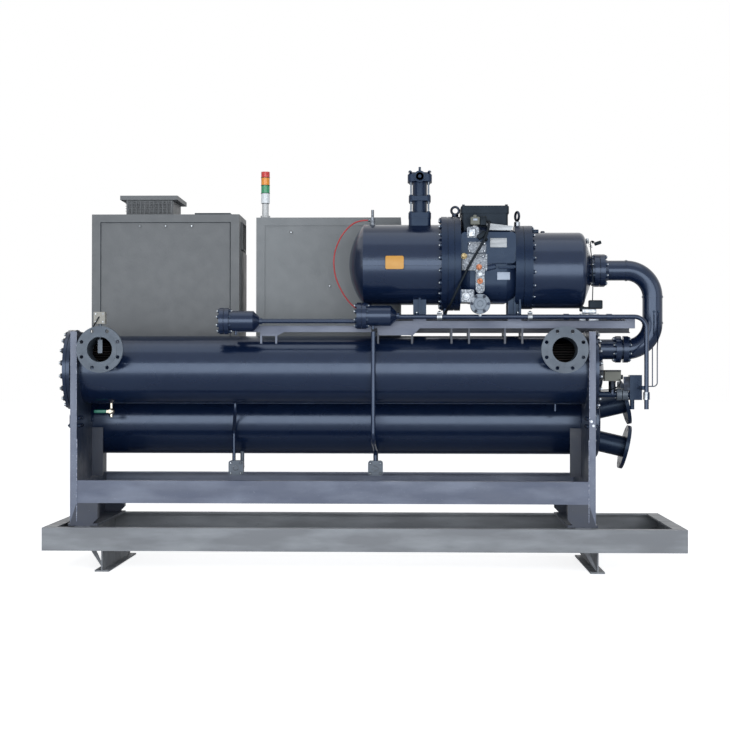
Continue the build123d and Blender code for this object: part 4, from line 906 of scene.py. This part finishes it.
# Casing: lifting eyes, coil, connectors and the small valve under the coil
coilY = -0.425
casingTrim = {
    "lifting_eyes": {"material": blackOxide, "slotName": "frame_paint", "parts": [
        (addRing, (0.564, axisY, 2.239), minusY, 0.0235, 0.0077),
        (addDisc, (0.564, axisY, 2.1995), plusZ, 0.021, 0.016, 0.003),
        (addRing, (0.952, axisY, 2.203), (0.927, 0.375, 0), 0.027, 0.008),
    ]},
    "lifting_eye_collar": {"material": zincPlate, "slotName": "bare_casting", "parts": [
        (addDisc, (0.952, axisY, 2.143), plusZ, 0.019, 0.027, 0.004),
    ]},
    "solenoid_coil": {"material": oliveNylon, "slotName": "cabinet_paint", "parts": [
        (addRoundedBox, (0.652, coilY - 0.024, 2.129), (0.709, coilY + 0.026, 2.177), 0.006, 3),
        (addDisc, (0.680, coilY, 2.120), plusZ, 0.012, 0.070, 0.003),
    ]},
    "coil_patch": {"material": palePlate, "slotName": "cabinet_paint", "parts": [
        (addRoundedBox, (0.669, coilY - 0.0255, 2.154), (0.694, coilY - 0.0235, 2.166), 0.0008),
    ]},
    "casing_connectors": {"material": blackRubber, "slotName": "cable_black", "parts": [
        (addRoundedBox, (0.709, coilY - 0.020, 2.123), (0.750, coilY + 0.020, 2.181), 0.006, 3),
        (tiltedBox, (0.720, -0.462, 2.063), (0.060, 0.030, 0.034), -35, 0.007),
        (addDisc, (0.738, -0.470, 2.045), (0.5, -0.5, -0.7), 0.011, 0.022, 0.003),
    ]},
    "solenoid_valve": {"material": zincPlate, "slotName": "bare_casting", "smooth": False, "parts": [
        (addRoundedBox, (0.643, -0.470, 2.055), (0.680, -0.446, 2.100), 0.003),
        (addTurned, (0.680, coilY - 0.004, 2.092), plusZ,
         [(0, 0), (0, 0.017), (0.030, 0.017), (0.034, 0.014), (0.034, 0)], 6),
        (addDisc, (0.661, -0.468, 2.078), minusY, 0.010, 0.010, 0.002),
    ]},
}
for name, piece in casingTrim.items():
    builtPiece(name, **piece)

# Casing: plates, plugs, round cover and ribs, each seated on the casting by rays from the front
casing = surfaceOf("compressor_casing")
casingFace = -0.44  # where a ray that misses the casting is taken to land
casingPlates = {  # left, right, low, high, rise, material, slot
    "casing_plate_a": (0.637, 0.747, 1.957, 2.021, 0.003, castAluminium, "bare_casting"),
    "casing_plate_b": (0.598, 0.745, 1.849, 1.951, 0.003, castAluminium, "bare_casting"),
    "casing_nameplate": (0.772, 0.874, 1.990, 2.047, 0.003, satinPlate, "bare_casting"),
    "casing_patch": (0.816, 0.894, 1.792, 1.839, 0.002, palePlate, "cabinet_paint"),
}
for name, (left, right, low, high, rise, material, slotName) in casingPlates.items():
    corners = [(x, z) for x in (left, (left + right) / 2, right) for z in (low, high)]
    y = min(frontAt(casing, x, z, casingFace) for x, z in corners)
    builtPiece(name, [(addRoundedBox, (left, y - rise, low), (right, y + 0.004, high), 0.0012)], material, slotName)
screwColumns = {"a": ((0.647, 0.737), (1.967, 2.011)), "b": ((0.610, 0.729), (1.865, 1.935))}  # x, then z
plateScrews = [
    ((x, frontAt(casing, x, z, casingFace) - 0.003, z), minusY)
    for columns, levels in screwColumns.values() for x in columns for z in levels
]
boltsAt("plate_screws", plateScrews, "hexSmall")

plugs = {  # x, z, radius, height, material
    "plug_copper_high": (0.704, 1.869, 0.018, 0.015, copperPlug),
    "plug_copper_low": (0.710, 1.783, 0.018, 0.012, copperPlug),
    "plug_hex_middle": (0.710, 1.826, 0.014, 0.014, zincPlate),
    "plug_silver_left": (0.623, 1.690, 0.023, 0.016, zincPlate),
    "fitting_brass": (0.612, 1.936, 0.019, 0.036, brassFitting),
    "plug_drain_small": (0.711, 1.575, 0.009, 0.012, zincPlate),
}
for name, (x, z, radius, height, material) in plugs.items():
    y = frontAt(casing, x, z, casingFace)
    collar = (addDisc, (x, y + 0.002, z), minusY, radius, height * 0.4 + 0.002, 0.001)
    profile = [(0.3, 0), (0.3, 0.78), (0.9, 0.78), (1, 0.66), (1, 0)]  # shares of the height and radius
    hexagon = (addTurned, (x, y, z), minusY, [(along * height, out * radius) for along, out in profile], 6)
    builtPiece(name, [collar, hexagon], material, "bare_casting", smooth=False)

cover = {
    "x": 0.711, "z": 1.645, "bolts": 0.051, "count": 6, "face": 0.006,
    "profile": [
        (-0.003, 0.062), (0.004, 0.062), (0.006, 0.060), (0.006, 0.040), (0.009, 0.036), (0.009, 0.020),
        (0.006, 0.016), (0.006, 0),
    ],
}
coverFront = frontAt(casing, cover["x"], cover["z"], casingFace)
turnedCover = (addTurned, (cover["x"], coverFront, cover["z"]), minusY, cover["profile"], 48)
builtPiece("round_cover", [turnedCover], palePrimer, "flange_paint")
coverCentre = (cover["x"], coverFront - cover["face"], cover["z"])
boltsAt("round_cover_bolts", ringPoints(coverCentre, minusY, cover["bolts"], cover["count"]), "capScrew")

ribs = {  # left, right, low, high
    "upper": (0.821, 0.920, 1.859, 1.871), "seam": (0.804, 0.898, 1.890, 1.894), "lower": (0.785, 0.877, 1.651, 1.657),
}
ribParts = []
for left, right, low, high in ribs.values():
    y = frontAt(casing, (left + right) / 2, (low + high) / 2, casingFace)
    ribParts.append((addRoundedBox, (left, y - 0.007, low), (right, y + 0.006, high), 0.003))
knuckleY = frontAt(casing, 0.775, 1.868, casingFace)
ribParts.append((tiltedBox, (0.775, knuckleY, 1.868), (0.070, 0.020, 0.034), -14, 0.008))
edgeY = frontAt(casing, 0.960, 1.655, casingFace) - 0.006
ribParts.append((addRoundedBox, (0.955, edgeY, 1.586), (0.965, -0.36, 1.724), 0.003))
builtPiece("casing_ribs", ribParts, castEnamel, "frame_paint")

slopePlate = {
    "corners": [(0.745, 2.141), (0.913, 2.122), (0.900, 2.095), (0.769, 2.098)], "front": -0.425, "back": -0.345,
}
bm = bmesh.new()
rims = [
    [bm.verts.new((x, y, z)) for x, z in slopePlate["corners"]] for y in (slopePlate["front"], slopePlate["back"])
]
addBands(bm, rims, capped=True)
meshPiece("terminal_plate", bm, satinPlate, smooth=False)

# Terminal box: lid screws, three along each side
boxLow, boxHigh = boxOf("terminal_box")
lidInset = 0.016
lidRows = (boxLow.y + lidInset, (boxLow.y + boxHigh.y) / 2, boxHigh.y - lidInset)
lidScrews = [
    ((x, y, boxHigh.z - 0.001), plusZ) for x in (boxLow.x + lidInset, boxHigh.x - lidInset) for y in lidRows
]
boltsAt("lid_screws", lidScrews, "capScrew")

# Cable gland, and the motor's bracket, sensors, heater box and small valve beside the compressor rail
glandProfile = [
    (-0.006, 0), (-0.006, 0.017), (0.010, 0.017), (0.012, 0.0145), (0.030, 0.0145), (0.034, 0.010), (0.034, 0),
]
motorTrim = {
    "cable_gland": {"material": blackRubber, "slotName": "cable_black", "parts": [
        (addTurned, cables["black_cable"]["route"][0], minusY, glandProfile, 18),
    ]},
    "motor_bracket": {"material": castEnamel, "slotName": "frame_paint", "parts": [
        (addRoundedBox, (1.033, -0.222, 2.098), (1.085, -0.178, 2.119), 0.003),
        (addDisc, (1.111, axisY, 2.094), plusZ, 0.014, 0.016, 0.004),
    ]},
    "motor_sensor": {"material": zincPlate, "slotName": "bare_casting", "parts": [
        (addDisc, (1.387, -0.220, 2.030), plusZ, 0.014, 0.022, 0.003, 6),
        (addDisc, (1.387, -0.220, 2.050), plusZ, 0.010, 0.013, 0.003),
        (addRing, (1.404, -0.220, 2.018), (0.4, 0.9, 0.2), 0.007, 0.0014, 16, 8),
        (addRing, (1.415, -0.220, 2.011), (0.9, 0.3, 0.2), 0.007, 0.0014, 16, 8),
    ]},
    "motor_boxes": {"material": blackRubber, "slotName": "cable_black", "parts": [
        (tiltedBox, (1.452, -0.232, 2.032), (0.044, 0.024, 0.022), -18, 0.005),
        (addDisc, (1.427, -0.232, 2.038), minusX, 0.008, 0.012, 0.002),
        (addRoundedBox, (1.385, -0.338, 1.618), (1.471, -0.298, 1.672), 0.007, 3),
        (addRoundedBox, (1.329, -0.334, 1.601), (1.362, -0.302, 1.635), 0.009, 3),
        (addDisc, (1.360, -0.318, 1.622), plusX, 0.009, 0.028, 0.002),
    ]},
    "motor_service_valve": {"material": zincPlate, "slotName": "bare_casting", "parts": [
        (addRoundedBox, (1.346, -0.336, 1.587), (1.432, -0.300, 1.618), 0.004),
        (addRoundedBox, (1.329, -0.334, 1.5435), (1.366, -0.304, 1.589), 0.003),
        (addRoundedBox, (1.386, -0.334, 1.5435), (1.448, -0.304, 1.589), 0.003),
    ]},
}
for name, piece in motorTrim.items():
    builtPiece(name, **piece)

# Clamps that hold the liquid line beside the compressor rail
lineClamps = {"spans": ((0.448, 0.478), (1.003, 1.031)), "y": -0.424, "z": 1.564, "inner": 0.0198, "outer": 0.0225}
clampParts = []
clampNuts = []
for left, right in lineClamps["spans"]:
    inner, outer, width = lineClamps["inner"], lineClamps["outer"], right - left
    loop = [(0, inner), (0, outer), (width, outer), (width, inner), (0, inner)]
    clampParts.append((addTurned, (left, lineClamps["y"], lineClamps["z"]), plusX, loop, 32))
    clampParts.append((addRoundedBox, (left, -0.440, 1.585), (right, -0.408, 1.595), 0.003))
    clampParts.append((addRoundedBox, (left, -0.404, 1.548), (right, -0.336, 1.553), 0.001))
    clampNuts.append((((left + right) / 2, lineClamps["y"], 1.594), plusZ))
builtPiece("line_clamps", clampParts, zincPlate, "bare_casting")
boltsAt("clamp_nuts", clampNuts, "hexSmall")
print("compressor dressed")


# Evaporator tubes: a full bundle on a triangular pitch, seen through the water flanges
bundle = {"radius": 0.176, "tube": 0.007, "pitch": 0.0185, "row": 0.016, "rows": 11}
tubesLow, tubesHigh = boxOf("evaporator_tubes")
tubesMiddle = middleOf("evaporator_tubes")
tubeSpots = []
for row in range(-bundle["rows"], bundle["rows"] + 1):
    z = tubesMiddle.z + row * bundle["row"]
    for step in range(-bundle["rows"], bundle["rows"] + 1):
        y = axisY + (step + (row % 2) / 2) * bundle["pitch"]
        if math.hypot(y - axisY, z - tubesMiddle.z) < bundle["radius"] - bundle["tube"]:
            tubeSpots.append(((tubesMiddle.x, y, z), plusX))
bundleSizes = {"Radius": bundle["tube"], "Length": tubesHigh.x - tubesLow.x, "Finish": copperTube}
grownPiece("tube_bundle", tubes, tubeSpots, bundleSizes, replaced=["evaporator_tubes"])
print("tube bundle grown,", len(tubeSpots), "tubes")

# Frame: splice plates behind the posts, and their bolts, seated on both faces by rays along X
splice = {
    "left": -1.8075, "right": 1.409, "thickness": 0.0065, "front": -0.480, "back": -0.300, "low": 0.881, "high": 0.960,
    "bolts": {"end_frame": (0.894,), "upper_frame": (0.941,)}, "columns": (-0.440, -0.390, -0.340), "seat": 0.006,
}
plateParts = [(addRoundedBox, (0.412, 0.478, 0.506), (0.469, 0.492, 0.559), 0.003)]
frameBolts = []
for side, out in (("left", minusX), ("right", plusX)):
    start, end = splice[side], splice[side] + splice["thickness"]
    corners = (start, splice["front"], splice["low"]), (end, splice["back"], splice["high"])
    plateParts.append((addRoundedBox, *corners, 0.0015))
    for frameName, levels in splice["bolts"].items():
        surface = surfaceOf(f"{frameName}_{side}")
        for place in [Vector((0, y, z)) for z in levels for y in splice["columns"]]:
            outer = surface.ray_cast(place + out * 2.5, -out)[0]
            inner = surface.ray_cast(place, out)[0]
            if outer and inner:
                frameBolts += [(outer + out * splice["seat"], out), (inner, -out)]
builtPiece("splice_plates", plateParts, frameEnamel, "frame_paint")
boltsAt("frame_bolts", frameBolts, "hexDark")
brightBolts = [((x, -0.4845, z), minusY) for x, z in ((1.386, 0.926), (1.398, 0.900))]
brightBolts += [((x, -0.330, 1.4105), plusZ) for x in (0.539, 0.647, 0.869, 0.976)]
boltsAt("bright_bolts", brightBolts, "hexBright")

feet = {"insetX": 0.022, "insetY": 0.018, "flange": 0.018}
feetLow, feetHigh = boxOf("compressor_feet")
feetBolts = [
    ((x, y, feetLow.z + feet["flange"]), plusZ)
    for x in (feetLow.x + feet["insetX"], feetHigh.x - feet["insetX"])
    for y in (feetLow.y + feet["insetY"], feetHigh.y - feet["insetY"])
]
boltsAt("feet_bolts", feetBolts, "hexMedium")

# Weld beads: down the posts' front edges, and round the water nozzles where they meet the shell
postWelds = {
    "y": -0.4852, "step": 0.05, "count": 11, "bead": 0.0032, "seed": 10,
    "runs": {  # x and lowest z
        "weld_post_left": (-1.764, 0.92), "weld_post_right": (1.374, 0.92), "weld_lower_left": (-1.7605, 0.31),
        "weld_lower_right": (1.3705, 0.31),
    },
}
nozzleWeld = {"radius": 0.0845, "shell": 0.213, "count": 48, "bead": 0.0038, "seed": 21}


def weldPath(name, points, radius, seed, closed=False):
    rests = [(Vector(point), plusZ) for point in points]
    edges = [(i, i + 1) for i in range(len(points) - 1)]
    if closed:
        edges.append((len(points) - 1, 0))
    values = {"Spacing": radius * 0.9, "Radius": radius, "Seed": seed, "Finish": weldBead}
    return grownPiece(name, beads, rests, values, edges)


for number, (name, (x, low)) in enumerate(postWelds["runs"].items()):
    points = [(x, postWelds["y"], low + postWelds["step"] * i) for i in range(postWelds["count"])]
    weldPath(name, points, postWelds["bead"], postWelds["seed"] + number)
for side in ("left", "right"):
    centre = middleOf(f"water_nozzle_{side}")
    points = []
    for i in range(nozzleWeld["count"]):
        turn = 2 * math.pi * i / nozzleWeld["count"]
        z = centre.z + nozzleWeld["radius"] * math.sin(turn)
        reach = max(nozzleWeld["shell"] ** 2 - (z - headZ) ** 2, 0)
        points.append((centre.x + nozzleWeld["radius"] * math.cos(turn), axisY - math.sqrt(reach), z))
    weldPath(f"weld_nozzle_{side}", points, nozzleWeld["bead"], nozzleWeld["seed"], closed=True)

# Capillary tubes: carried on up the front of the suction pipe, as far as their brazed bosses
risers = {"radius": 0.0035, "low": 1.360, "top": 1.600, "columns": ((1.796, -0.2695), (1.826, -0.2625))}
bosses = []
for number, (x, y) in enumerate(risers["columns"]):
    low, top = risers["low"], risers["top"]
    tubePiece(f"capillary_riser_{number}", [
        (x, axisY, low), (x, axisY, low + 0.025), (x, axisY - 0.020, low + 0.060), (x, y, low + 0.102),
        (x, y, low + 0.140), (x, y, top), (x, y + 0.030, top + 0.004),
    ], risers["radius"], castEnamel)
    bosses.append((addDisc, (x, y + 0.010, top + 0.003), minusY, 0.008, 0.010, 0.002, 20))
    bosses.append((addRoundedBox, (x - 0.006, y - 0.005, 1.535), (x + 0.006, y + 0.012, 1.545), 0.002))
builtPiece("capillary_bosses", bosses, castEnamel, "frame_paint")

# Angle valves: corner screws and a raised ring in the middle
angleValve = {"middle": 0.047, "screws": 0.032, "ring": 0.016, "wire": 0.003}
valveRings = []
valveScrews = []
for side in ("left", "right"):
    name = f"angle_valve_{side}"
    low, surface = boxOf(name)[0], surfaceOf(name)
    x, z = middleOf(name).x, low.z + angleValve["middle"]
    for px in (x - angleValve["screws"], x + angleValve["screws"]):
        for pz in (z - angleValve["screws"], z + angleValve["screws"]):
            valveScrews.append(((px, frontAt(surface, px, pz, low.y), pz), minusY))
    front = frontAt(surface, x, z, low.y) - 0.0005
    valveRings.append((addRing, (x, front, z), minusY, angleValve["ring"], angleValve["wire"], 32, 10))
builtPiece("angle_valve_rings", valveRings, castAluminium, "bare_casting")
boltsAt("angle_valve_screws", valveScrews, "hexSmall")

# Cabinets: rivets, and black strips round the front panel, painted shadow in its gap
controlLow, controlHigh = boxOf("control_cabinet")
cabinetFront = controlLow.y
rivetSpots = ((-1.481, 2.177), (-1.311, 2.177), (-1.141, 2.177), (-0.492, 2.135), (-0.241, 1.786))  # x and z
boltsAt("cabinet_rivets", [((x, cabinetFront, z), minusY) for x, z in rivetSpots], "panelRivet")
# thin black strips along the panel's top and sides: painted shadow of the gap round it
panelGap = {"left": -1.738, "right": -0.887, "top": 2.202, "low": 1.20, "width": 0.0035}
panelGapRuns = (
    (panelGap["left"], panelGap["right"], panelGap["top"] - panelGap["width"]),
    (panelGap["left"], panelGap["left"] + panelGap["width"], panelGap["low"]),
    (panelGap["right"] - panelGap["width"], panelGap["right"], panelGap["low"]),
)
gapShadeParts = [
    (addRoundedBox, (left, cabinetFront - 0.0006, low), (right, cabinetFront + 0.002, panelGap["top"]), 0.0003, 1)
    for left, right, low in panelGapRuns
]
builtPiece("panel_gap_shadow", gapShadeParts, blackRubber, "cable_black")

# Louvre in the cabinet's right side, over a raised panel, with slats drawn pale as painted highlight and a dark sheet
# behind them as painted shade
louvre = {
    "front": 0.266, "back": 0.486, "low": 2.041, "high": 2.205, "border": 0.010, "slats": 11, "tilt": 0.7,
    "slatHalf": (0.0065, 0.0008), "panel": ((0.200, 1.620), (0.560, 2.020)),
}
front, back, low, high = (louvre[key] for key in ("front", "back", "low", "high"))
border, sideX = louvre["border"], controlHigh.x
frameBars = (  # front, back, low, high
    (front - border, back + border, low - border, low), (front - border, back + border, high, high + border),
    (front - border, front, low, high), (back, back + border, low, high),
)
frameParts = [
    (addRoundedBox, (sideX - 0.001, near, bottom), (sideX + 0.008, distant, top), 0.001)
    for near, distant, bottom, top in frameBars
]
(panelFront, panelLow), (panelBack, panelHigh) = louvre["panel"]
frameParts.append((
    addRoundedBox, (sideX - 0.001, panelFront, panelLow), (sideX + 0.004, panelBack, panelHigh), 0.0015,
))
builtPiece("louvre_frame", frameParts, cabinetPowder, "cabinet_paint")
# the slats take the pale satin aluminium: painted highlight
slatParts = []
pitch = (high - low) / louvre["slats"]
half = Vector((louvre["slatHalf"][0], (back - front) / 2, louvre["slatHalf"][1]))
for i in range(louvre["slats"]):
    place = Matrix.Translation((sideX + 0.003, (front + back) / 2, low + (i + 0.5) * pitch))
    slatParts.append((addRoundedBox, -half, half, 0.0003, 1, place @ Matrix.Rotation(louvre["tilt"], 4, "Y")))
builtPiece("louvre_slats", slatParts, satinPlate, "bare_casting")
# the dark sheet behind the slats is painted shade
shadow = (addRoundedBox, (sideX - 0.0005, front, low), (sideX + 0.0008, back, high), 0.0002, 1)
builtPiece("louvre_shadow", [shadow], boxPowder, "cabinet_paint")

# Vent hat: upright blades in its slots, and thin rows behind them
vent = {
    "count": 11, "left": -1.563, "right": -1.277, "low": 2.261, "high": 2.341, "rows": 5,
    "blade": (0.0035, 0.014), "bladeSeat": 0.004, "row": (0.003, 0.0035), "rowSeat": 0.003, "rowEnds": 0.03,
}
ventFront = boxOf("cabinet_vent")[0].y
width, height = vent["right"] - vent["left"], vent["high"] - vent["low"]
ventBlades = [
    ((vent["left"] + width * i / (vent["count"] - 1), ventFront + vent["bladeSeat"], vent["low"] + height / 2), plusZ)
    for i in range(vent["count"])
]
ventRows = [
    ((vent["left"] + width / 2, ventFront + vent["rowSeat"], vent["low"] + height * i / vent["rows"]), plusX)
    for i in range(1, vent["rows"])
]
for name, places, section, length in (
    ("vent_blades", ventBlades, vent["blade"], height), ("vent_rows", ventRows, vent["row"], width + vent["rowEnds"]),
):
    barSizes = {"Width": section[0], "Depth": section[1], "Length": length, "Finish": cabinetPowder}
    grownPiece(name, bars, places, barSizes)

# Doors at the back: a pair on each cabinet, with handles beside the meeting line and three hinges each
doors = {
    "border": 0.020, "ends": 0.030, "gap": 0.002, "rise": 0.004, "hingeEdge": 0.014, "handleEdge": 0.050,
    "handle": (0.012, 1.66, 1.80), "hingeEnds": 0.14, "hinge": (0.005, 0.06),
}
backFace = controlHigh.y
doorParts = []
hingeParts = []
handleHalf, handleLow, handleHigh = doors["handle"]
hingeRadius, hingeLength = doors["hinge"]
for name in ("control_cabinet", "starter_cabinet"):
    low, high = boxOf(name)
    middle = middleOf(name)
    for edge, sign in ((low.x, -1), (high.x, 1)):
        left, right = sorted((edge - sign * doors["border"], middle.x + sign * doors["gap"]))
        skinLow = (left, backFace - 0.001, low.z + doors["ends"])
        skinHigh = (right, backFace + doors["rise"], high.z - doors["ends"])
        doorParts.append((addRoundedBox, skinLow, skinHigh, 0.0015))
        x = middle.x + sign * doors["handleEdge"]
        handleNear, handleFar = (x - handleHalf, backFace, handleLow), (x + handleHalf, backFace + 0.012, handleHigh)
        hingeParts.append((addRoundedBox, handleNear, handleFar, 0.004))
        x = edge - sign * doors["hingeEdge"]
        for z in (low.z + doors["hingeEnds"], middle.z, high.z - doors["hingeEnds"]):
            start = (x, backFace + hingeRadius, z - hingeLength / 2)
            hingeParts.append((addDisc, start, plusZ, hingeRadius, hingeLength, 0.001, 16))
builtPiece("cabinet_doors", doorParts, cabinetPowder, "cabinet_paint")
builtPiece("cabinet_hinges", hingeParts, blackOxide, "frame_paint")

# Signal column: dark collars between its tiers
collar = {"levels": (2.3285, 2.3955, 2.4475, 2.4985), "height": 0.004, "rise": 0.0012, "sunk": 0.002, "probe": 0.006}
lamp = middleOf("stack_light")
surface = surfaceOf("stack_light")
collarParts = []
for z in collar["levels"]:
    radius = lamp.y - frontAt(surface, lamp.x, z - collar["probe"], lamp.y - 0.030)
    inner, outer, height = radius - collar["sunk"], radius + collar["rise"], collar["height"]
    loop = [(0, inner), (0, outer), (height, outer), (height, inner), (0, inner)]
    collarParts.append((addTurned, (lamp.x, lamp.y, z - height / 2), plusZ, loop, 40))
builtPiece("signal_collars", collarParts, blackOxide, "frame_paint")
print("cabinets dressed")

# Expansion valve: flange bolts, head lid with its side plug, neck, collar and nut
valveFlange = {"left": 1.573, "right": 1.638, "z": 1.087, "radius": 0.027, "count": 4, "start": 45}
flangeBolts = []
for x, out in ((valveFlange["left"], minusX), (valveFlange["right"], plusX)):
    centre = (x, axisY, valveFlange["z"])
    flangeBolts += ringPoints(centre, out, valveFlange["radius"], valveFlange["count"], valveFlange["start"])
boltsAt("expansion_bolts", flangeBolts, "hexSmall")
neckX = 1.551
expansionTrim = {
    "expansion_head": {"material": boxPowder, "slotName": "cabinet_paint", "parts": [
        (addRoundedBox, (1.496, -0.262, 1.232), (1.594, -0.158, 1.2405), 0.003),
        (addDisc, (1.592, axisY, 1.197), plusX, 0.0145, 0.020, 0.002, 24),
    ]},
    "expansion_neck": {"material": copperPlug, "slotName": "tube_copper", "parts": [
        (addTurned, (neckX, axisY, 1.150), plusZ,
         [(0, 0), (0, 0.0135), (0.008, 0.0150), (0.020, 0.0200), (0.0205, 0)], 28),
    ]},
    "expansion_collar": {"material": zincPlate, "slotName": "bare_casting", "parts": [
        (addDisc, (neckX, axisY, 1.138), plusZ, 0.0165, 0.0122, 0.002, 28),
    ]},
    "expansion_nut": {"material": blackOxide, "slotName": "frame_paint", "smooth": False, "parts": [
        (addDisc, (neckX, axisY, 1.112), plusZ, 0.0195, 0.0262, 0.002, 6),
        (addRoundedBox, (1.612, -0.232, 1.112), (1.700, -0.226, 1.200), 0.004),
    ]},
}
for name, piece in expansionTrim.items():
    builtPiece(name, **piece)

# Flow switch: screws in the corners of its lid
switchLid = {"inset": 0.012, "levels": (1.532, 1.580)}
switchLow, switchHigh = boxOf("flow_switch")
surface = surfaceOf("flow_switch")
switchScrews = [
    ((x, frontAt(surface, x, z, switchLow.y), z), minusY)
    for x in (switchLow.x + switchLid["inset"], switchHigh.x - switchLid["inset"]) for z in switchLid["levels"]
]
boltsAt("switch_screws", switchScrews, "lidScrew")

# Drain valve: the lever's green sleeve, which turns with it
sleeve = {"left": -0.001, "right": 0.078, "front": -0.2495, "back": -0.2405, "low": 0.9672, "high": 0.9868}
leverX = boxOf("drain_lever")[0].x
sleeveLow = (leverX + sleeve["left"], sleeve["front"], sleeve["low"])
sleeveHigh = (leverX + sleeve["right"], sleeve["back"], sleeve["high"])
sleeveShell = (addRoundedBox, sleeveLow, sleeveHigh, 0.004, 4)
builtPiece("lever_sleeve", [sleeveShell], greenSleeve, "lever_green", leverBody)
print("valves dressed")

# Cables
for name, values in cables.items():
    curve = splineCurve(name + "_sheath", values["route"], values["radius"])
    material, slotName = (redSheath, "cable_red") if name == "red_cable" else (blackRubber, "cable_black")
    curve.materials.append(material)
    solids = [name] if name in nodes else []
    cable = finishPiece(bpy.data.objects.new(name + "_sheath", curve), replaced=solids)
print("cables laid")


# Stage and light: white paper below and behind, one tall soft panel ahead of the machine
studio = {
    "floorColour": "#F2F3F4", "floorLift": 0.80, "worldColour": (0.93, 0.96, 1.0, 1), "worldStrength": 0.22,
    "lampColour": (0.93, 0.965, 1.0),
    "floor": [(-40, -14, 0), (40, -14, 0), (40, 60, 0), (-40, 60, 0)],
    "panels": {  # place, target, size, power
        "front_panel": ((0, -6.2, 1.725), (0, 0, 1.725), (11, 3.35), 405),
        "top_panel": ((0, -1.0, 5.5), (0, 0, 1.2), (8, 3), 60),
        "left_panel": ((-6.0, -2.5, 2.4), (0, 0, 1.2), (3, 3), 22),
        "right_panel": ((6.0, -2.5, 2.4), (0, 0, 1.2), (3, 3), 22),
    },
}

floorMesh = bpy.data.meshes.new("floor")
floorMesh.from_pydata(studio["floor"], [], [(0, 1, 2, 3)])
floor = bpy.data.objects.new("floor", floorMesh)
scene.collection.objects.link(floor)
floorMaterial, tree, shader = newMaterial("seamlessPaperFloor")
shader.inputs["Base Color"].default_value = srgb(studio["floorColour"])
shader.inputs["Roughness"].default_value = 0.95
shader.inputs["Emission Color"].default_value = grey(1)
paths = addNode(tree, "ShaderNodeLightPath")
brighten = {"operation": "MULTIPLY", 1: studio["floorLift"]}
lift = addNode(tree, "ShaderNodeMath", brighten, {0: paths.outputs["Is Camera Ray"]})
tree.links.new(lift.outputs[0], shader.inputs["Emission Strength"])
floorMesh.materials.append(floorMaterial)

world = bpy.data.worlds.new("studio")
scene.world = world
world.use_nodes = True
tree = world.node_tree
tree.nodes.clear()
paths = addNode(tree, "ShaderNodeLightPath")
either = {"operation": "MAXIMUM"}
links = {0: paths.outputs["Is Camera Ray"], 1: paths.outputs["Is Glossy Ray"]}
seen = addNode(tree, "ShaderNodeMath", either, links)
clear = addNode(tree, "ShaderNodeMath", either, {0: seen.outputs[0], 1: paths.outputs["Is Transmission Ray"]})
dim = {"Color": studio["worldColour"], "Strength": studio["worldStrength"]}
lit = addNode(tree, "ShaderNodeBackground", dim)
shown = addNode(tree, "ShaderNodeBackground", {"Color": grey(1), "Strength": 1.0})
links = {0: clear.outputs[0], 1: lit.outputs[0], 2: shown.outputs[0]}
mixed = addNode(tree, "ShaderNodeMixShader", links=links)
addNode(tree, "ShaderNodeOutputWorld", links={"Surface": mixed.outputs[0]})

for name, (place, target, size, power) in studio["panels"].items():
    light = bpy.data.objects.new(name, bpy.data.lights.new(name, "AREA"))
    light.data.shape = "RECTANGLE"
    light.data.size, light.data.size_y = size
    light.data.energy = power
    light.data.color = studio["lampColour"]
    light.location = place
    light.rotation_euler = (Vector(target) - Vector(place)).to_track_quat("-Z", "Y").to_euler()
    light.visible_camera = False
    scene.collection.objects.link(light)

scene.view_settings.view_transform = "Standard"
print("stage and light set")
